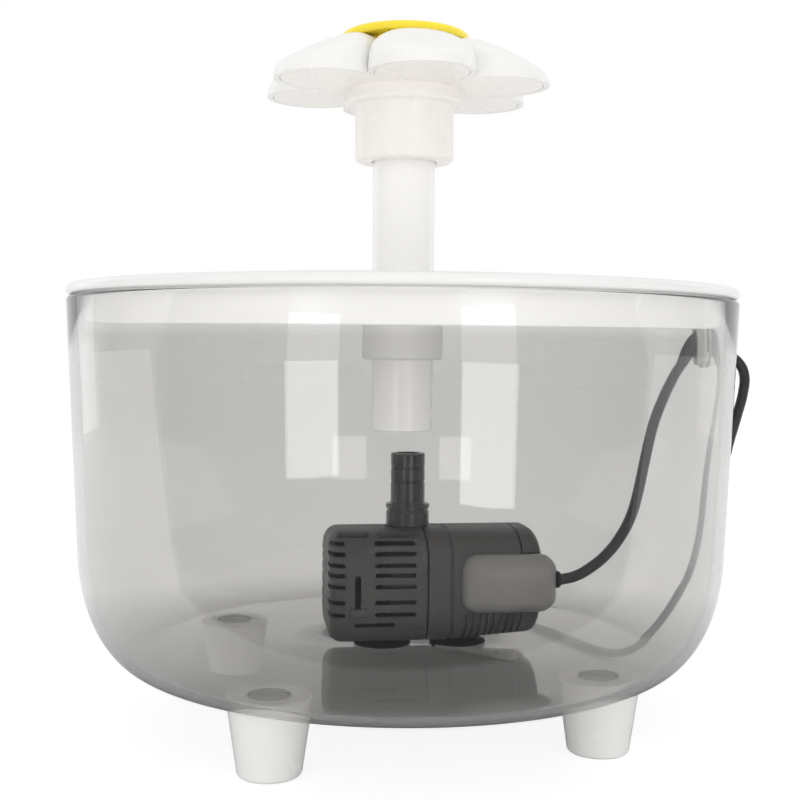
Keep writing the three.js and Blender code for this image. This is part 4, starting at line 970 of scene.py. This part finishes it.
def make_housing():
    stations = [(COVER_SEAM + GAP / 2, 0.25), (COVER_SEAM + 0.45, 0), (RING_SEAM - 0.5, 0),
                (RING_SEAM - 0.2, 0.45), (RING_SEAM + 0.2, 0.45), (RING_SEAM + 0.5, 0), (20, 0),
                (CAP_SEAM - 0.3, 0), (CAP_SEAM, 0.25)]
    body = skinned("motor_barrel", [barrel(x, inset) for x, inset in stations])
    comb = joined("comb", [bar("groove", (14 + 2 * k, -20, 20), (14.9 + 2 * k, 20, 33)) for k in range(8)])
    carve(comb, skinned("core", [barrel(x, 0.6) for x in (12, 20, 32)]))
    carve(body, comb)
    drum = laid(turned("drum", [(0, -7), (12.7, -7), (13.2, -6.5), (13.2, 3), (0, 3)], 72), z=ROTOR_Z)
    boss = turned("boss", [(0, 45), (6.3, 45), (6.3, 55.9), (5.2, 55.9), (5.2, 59), (0, 59)], 56)
    unite(body, drum, boss)
    chamber = laid(disc("chamber", 10.5, -8, 3, 56), z=ROTOR_Z)
    outlet = disc("outlet", 4.2, 44, 62, 40)
    seat = moved(disc("seat", CUP_SEAT_R, 22, 25.6, 24), REAR_CUP_X)
    carve(body, chamber, outlet, seat, pocket_skin("pocket_seat", 0.02))
    finished(on_pump(smooth(body)), pump_grey, "bowl_unit", "pump_plastic", "pump_housing")
    # The cable pocket wears the lighter grey: painted highlight
    finished(on_pump(pocket_skin("cable_pocket")), pocket_painted_glare_grey, "bowl_unit", "pump_plastic")


def make_rear_cap():
    start = CAP_SEAM + GAP
    rings = [barrel(start, 0.25), barrel(start + 0.3)] + rounded_end(REAR_X, 2.4, -1)[::-1]
    cap = carve(skinned("motor_end_cap", rings), pocket_skin("relief", 0.3))
    finished(on_pump(smooth(cap)), pump_grey, "bowl_unit", "pump_plastic", "pump_rear_cap")


def make_spout():
    collar = [(5.5, 56.2), (6.0, 56.2), (6.3, 56.5), (6.3, 60.3), (6.0, 60.65), (5.9, 60.9), (5.9, 61.3),
              (6.2, 61.3), (6.4, 61.5), (6.4, 62.45), (6.15, 62.7), (5.3, 62.75), (5.0, 63.1)]
    grooves = []
    for z in (69.4, 73.4):
        grooves += [(5.0, z - 0.55), (4.72, z - 0.3), (4.72, z - 0.1), (5.0, z + 0.15)]
    mouth = [(5.0, 77.0), (4.75, 77.4), (3.6, 77.4), (3.4, 77.1), (3.4, 60.3), (5.5, 60.3)]
    spout = on_pump(ring("spout", collar + grooves + mouth, 72))
    finished(spout, spout_black, "bowl_unit", "spout_plastic", "outlet_nozzle")


def make_cups():
    low, top = FLOOR_Z + FLOOR_THICK + GAP, BARREL_BOTTOM - GAP
    disc_below = [(0, low + 1.3), (3, low + 1.1), (6.7, low + 0.3), (7.9, low), (8.3, low + 0.15)]
    disc_above = [(8.25, low + 0.45), (7.2, low + 0.85), (5.4, low + 1.4), (4.3, low + 1.95), (3.9, top)]
    peg = [(2, top), (2, BARREL_BOTTOM + 1.3), (0, BARREL_BOTTOM + 1.3)]
    for name, x, body, node in (("front_sucker", FRONT_CUP_X, "cover_unit", "front_suction_cup"),
                                ("rear_sucker", REAR_CUP_X, "bowl_unit", "rear_suction_cup")):
        cup = moved(turned(name, disc_below + disc_above + peg, 56, 45), x)
        finished(on_pump(cup), black_rubber, body, "rubber", node)


def make_seal():
    profile = [(0, 40.7), (2.3, 40.7), (2.5, 40.95), (2.45, 41.2), (2.2, 41.6), (1.85, 41.9), (0, 41.9)]
    sleeve = laid(turned("cord_seal_sleeve", profile, 40, 45), y=-16.5, z=42.5)
    finished(on_pump(sleeve), black_rubber, "bowl_unit", "rubber", "cord_seal")


make_cover()
make_housing()
make_rear_cap()
make_spout()
make_cups()
make_seal()


# Solids that keep their CAD shape

CARRIED = {
    "filter_pad": (foam, "filter_foam"), "flow_regulator": (pump_grey, "pump_plastic"),
    "impeller_plate": (spout_black, "spout_plastic"), "impeller": (spout_black, "spout_plastic"),
    "rotor_magnet": (ferrite, "ferrite"), "rotor_shaft": (ceramic, "ceramic"),
    "front_bush": (black_rubber, "rubber"), "rear_bush": (black_rubber, "rubber"),
    "stator_core": (laminate, "laminate"), "upper_winding": (wire, "copper_wire"),
    "lower_winding": (wire, "copper_wire"), "driver_board": (board, "board"),
    "nozzle_seal": (black_rubber, "rubber"), "cord_tie": (spout_black, "spout_plastic"),
    "plug_tongue": (spout_black, "spout_plastic"),
}
for node, (material, slot) in CARRIED.items():
    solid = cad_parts[node]
    if not solid.material_slots:
        solid.data.materials.append(material)
    for place in solid.material_slots:
        place.material = material


# Floor, world and lamps, all in metres

TABLE_SIZE, TABLE_MIDDLE = (6, 3.12, 1), (0, 1.44, -0.1 * MM)
# Seen through glass or in gloss, the table is painted darker within these distances of the middle under the
# bowl and glows more beyond them: painted shadow and painted glow
PAINTED_SHADE_NEAR, PAINTED_SHADE_FAR = 0.08, 0.22
TABLE_WHITE, TABLE_PAINTED_SHADE_UNDER_BOWL = 0.8, 0.6
TABLE_SEEN, TABLE_GLOW, TABLE_PAINTED_GLOW_THROUGH_GLASS = 0.25, 0.84, 0.25
BOWL_MIDDLE = (0, 0, 0.1)

# How bright the room is: mirrored in gloss in front of the object and behind it, met by light that
# has bounced once, and spread on the object from behind it and from in front
MIRRORED_FRONT, MIRRORED_BACK = 0.2, 1.0
BOUNCED = 2.4
SPREAD_BACK, SPREAD_FRONT = 0.86, 1.14


def seen_directly(tree):
    """1 for rays that come from the camera, a mirror or glass, and 0 for light that spreads."""
    path = new_node(tree, "LightPath")
    either = maths(tree, "MAXIMUM", path.outputs["Is Camera Ray"], path.outputs["Is Glossy Ray"])
    return maths(tree, "MAXIMUM", either, path.outputs["Is Transmission Ray"])


def through_glass(tree):
    """1 for camera rays that come straight or by glass and mirrors, without a rough bounce."""
    bounces = new_node(tree, "LightPath").outputs["Diffuse Depth"]
    return maths(tree, "MULTIPLY", maths(tree, "LESS_THAN", bounces, 0.5), seen_directly(tree))


def make_floor():
    """A white table that ends in front of the object, and keeps a light shadow where it is seen. Through
    glass or in gloss it shows a painted shadow under the bowl and a painted glow away from it.
    """
    deselect()
    bpy.ops.mesh.primitive_plane_add(size=1, location=TABLE_MIDDLE)
    floor = named("floor")
    floor.scale = TABLE_SIZE
    applied(floor)
    material, tree, shader = new_material("white_table")
    camera = new_node(tree, "LightPath").outputs["Is Camera Ray"]
    away = new_node(tree, "VectorMath", {0: object_place(tree)}, operation="LENGTH").outputs["Value"]
    painted_shade_fade = ranged(tree, away, PAINTED_SHADE_NEAR, PAINTED_SHADE_FAR)
    seen = through_glass(tree)
    # For rays through glass or gloss: a painted shadow under the bowl, and a painted glow that grows away
    # from it
    tone = mixed(tree, seen, TABLE_WHITE, ranged(tree, painted_shade_fade, 0, 1, TABLE_PAINTED_SHADE_UNDER_BOWL, TABLE_WHITE))
    through = maths(tree, "MULTIPLY", ranged(tree, painted_shade_fade, 0, 1, 0, TABLE_PAINTED_GLOW_THROUGH_GLASS), seen)
    fill(tree, shader, {
        "Base Color": mixed(tree, camera, tone, TABLE_SEEN),
        "Roughness": 0.9,
        "Specular IOR Level": 0.0,
    })
    strength = mixed(tree, camera, through, TABLE_GLOW)
    glow = new_node(tree, "Emission", {"Color": OPAQUE_WHITE, "Strength": strength})
    both = new_node(tree, "AddShader", {0: shader.outputs["BSDF"], 1: glow.outputs["Emission"]})
    fill(tree, tree.nodes["Material Output"], {"Surface": both.outputs["Shader"]})
    floor.data.materials.append(material)


def set_world():
    world = bpy.data.worlds.new("studio")
    bpy.context.scene.world = world
    world.use_nodes = True
    tree = world.node_tree
    parts = new_node(tree, "SeparateXYZ", {"Vector": new_node(tree, "TexCoord").outputs["Generated"]})
    back, up = parts.outputs["Y"], parts.outputs["Z"]
    path = new_node(tree, "LightPath")
    back_or_up = maths(tree, "MULTIPLY_ADD", up, 0.6, back)
    mirrored = ranged(tree, back_or_up, 0.3, 0.6, MIRRORED_FRONT, MIRRORED_BACK)
    shown = mixed(tree, path.outputs["Glossy Depth"], 1.0, mirrored)
    inside = mixed(tree, path.outputs["Diffuse Depth"], shown, BOUNCED)
    spread = ranged(tree, back, 0.1, -0.9, SPREAD_BACK, SPREAD_FRONT, "SMOOTHSTEP")
    level = mixed(tree, seen_directly(tree), spread, inside)
    fill(tree, tree.nodes["Background"], {"Color": OPAQUE_WHITE, "Strength": level})


def lamp(name, place, target, width, height, radiance):
    """A softbox of a given radiance, turned to face a point."""
    bpy.ops.object.light_add(type="AREA", location=place)
    light = bpy.context.object
    light.name = name
    light.data.shape = "RECTANGLE"
    light.data.size, light.data.size_y = width, height
    light.data.energy = radiance * pi * width * height
    facing = Vector(target) - Vector(place)
    light.rotation_euler = facing.to_track_quat("-Z", "Y").to_euler()


make_floor()
set_world()
lamp("top_softbox", (-0.1, -0.2, 1.3), BOWL_MIDDLE, 1.1, 1.1, radiance=0.2)
lamp("left_strip", (-0.74, 0.5, 0.28), BOWL_MIDDLE, 0.24, 0.7, radiance=0.5)
lamp("right_strip", (0.76, 0.42, 0.28), BOWL_MIDDLE, 0.28, 0.7, radiance=0.25)
lamp("left_window", (-0.1634, -0.3525, 0.051), (-0.02, -0.0926, 0.051), 0.101, 0.054, radiance=3.5)
lamp("right_window", (0.1586, -0.3542, 0.045), (0.02, -0.0926, 0.045), 0.108, 0.065, radiance=3.5)

bpy.context.scene.view_settings.view_transform = "Standard"

deselect()
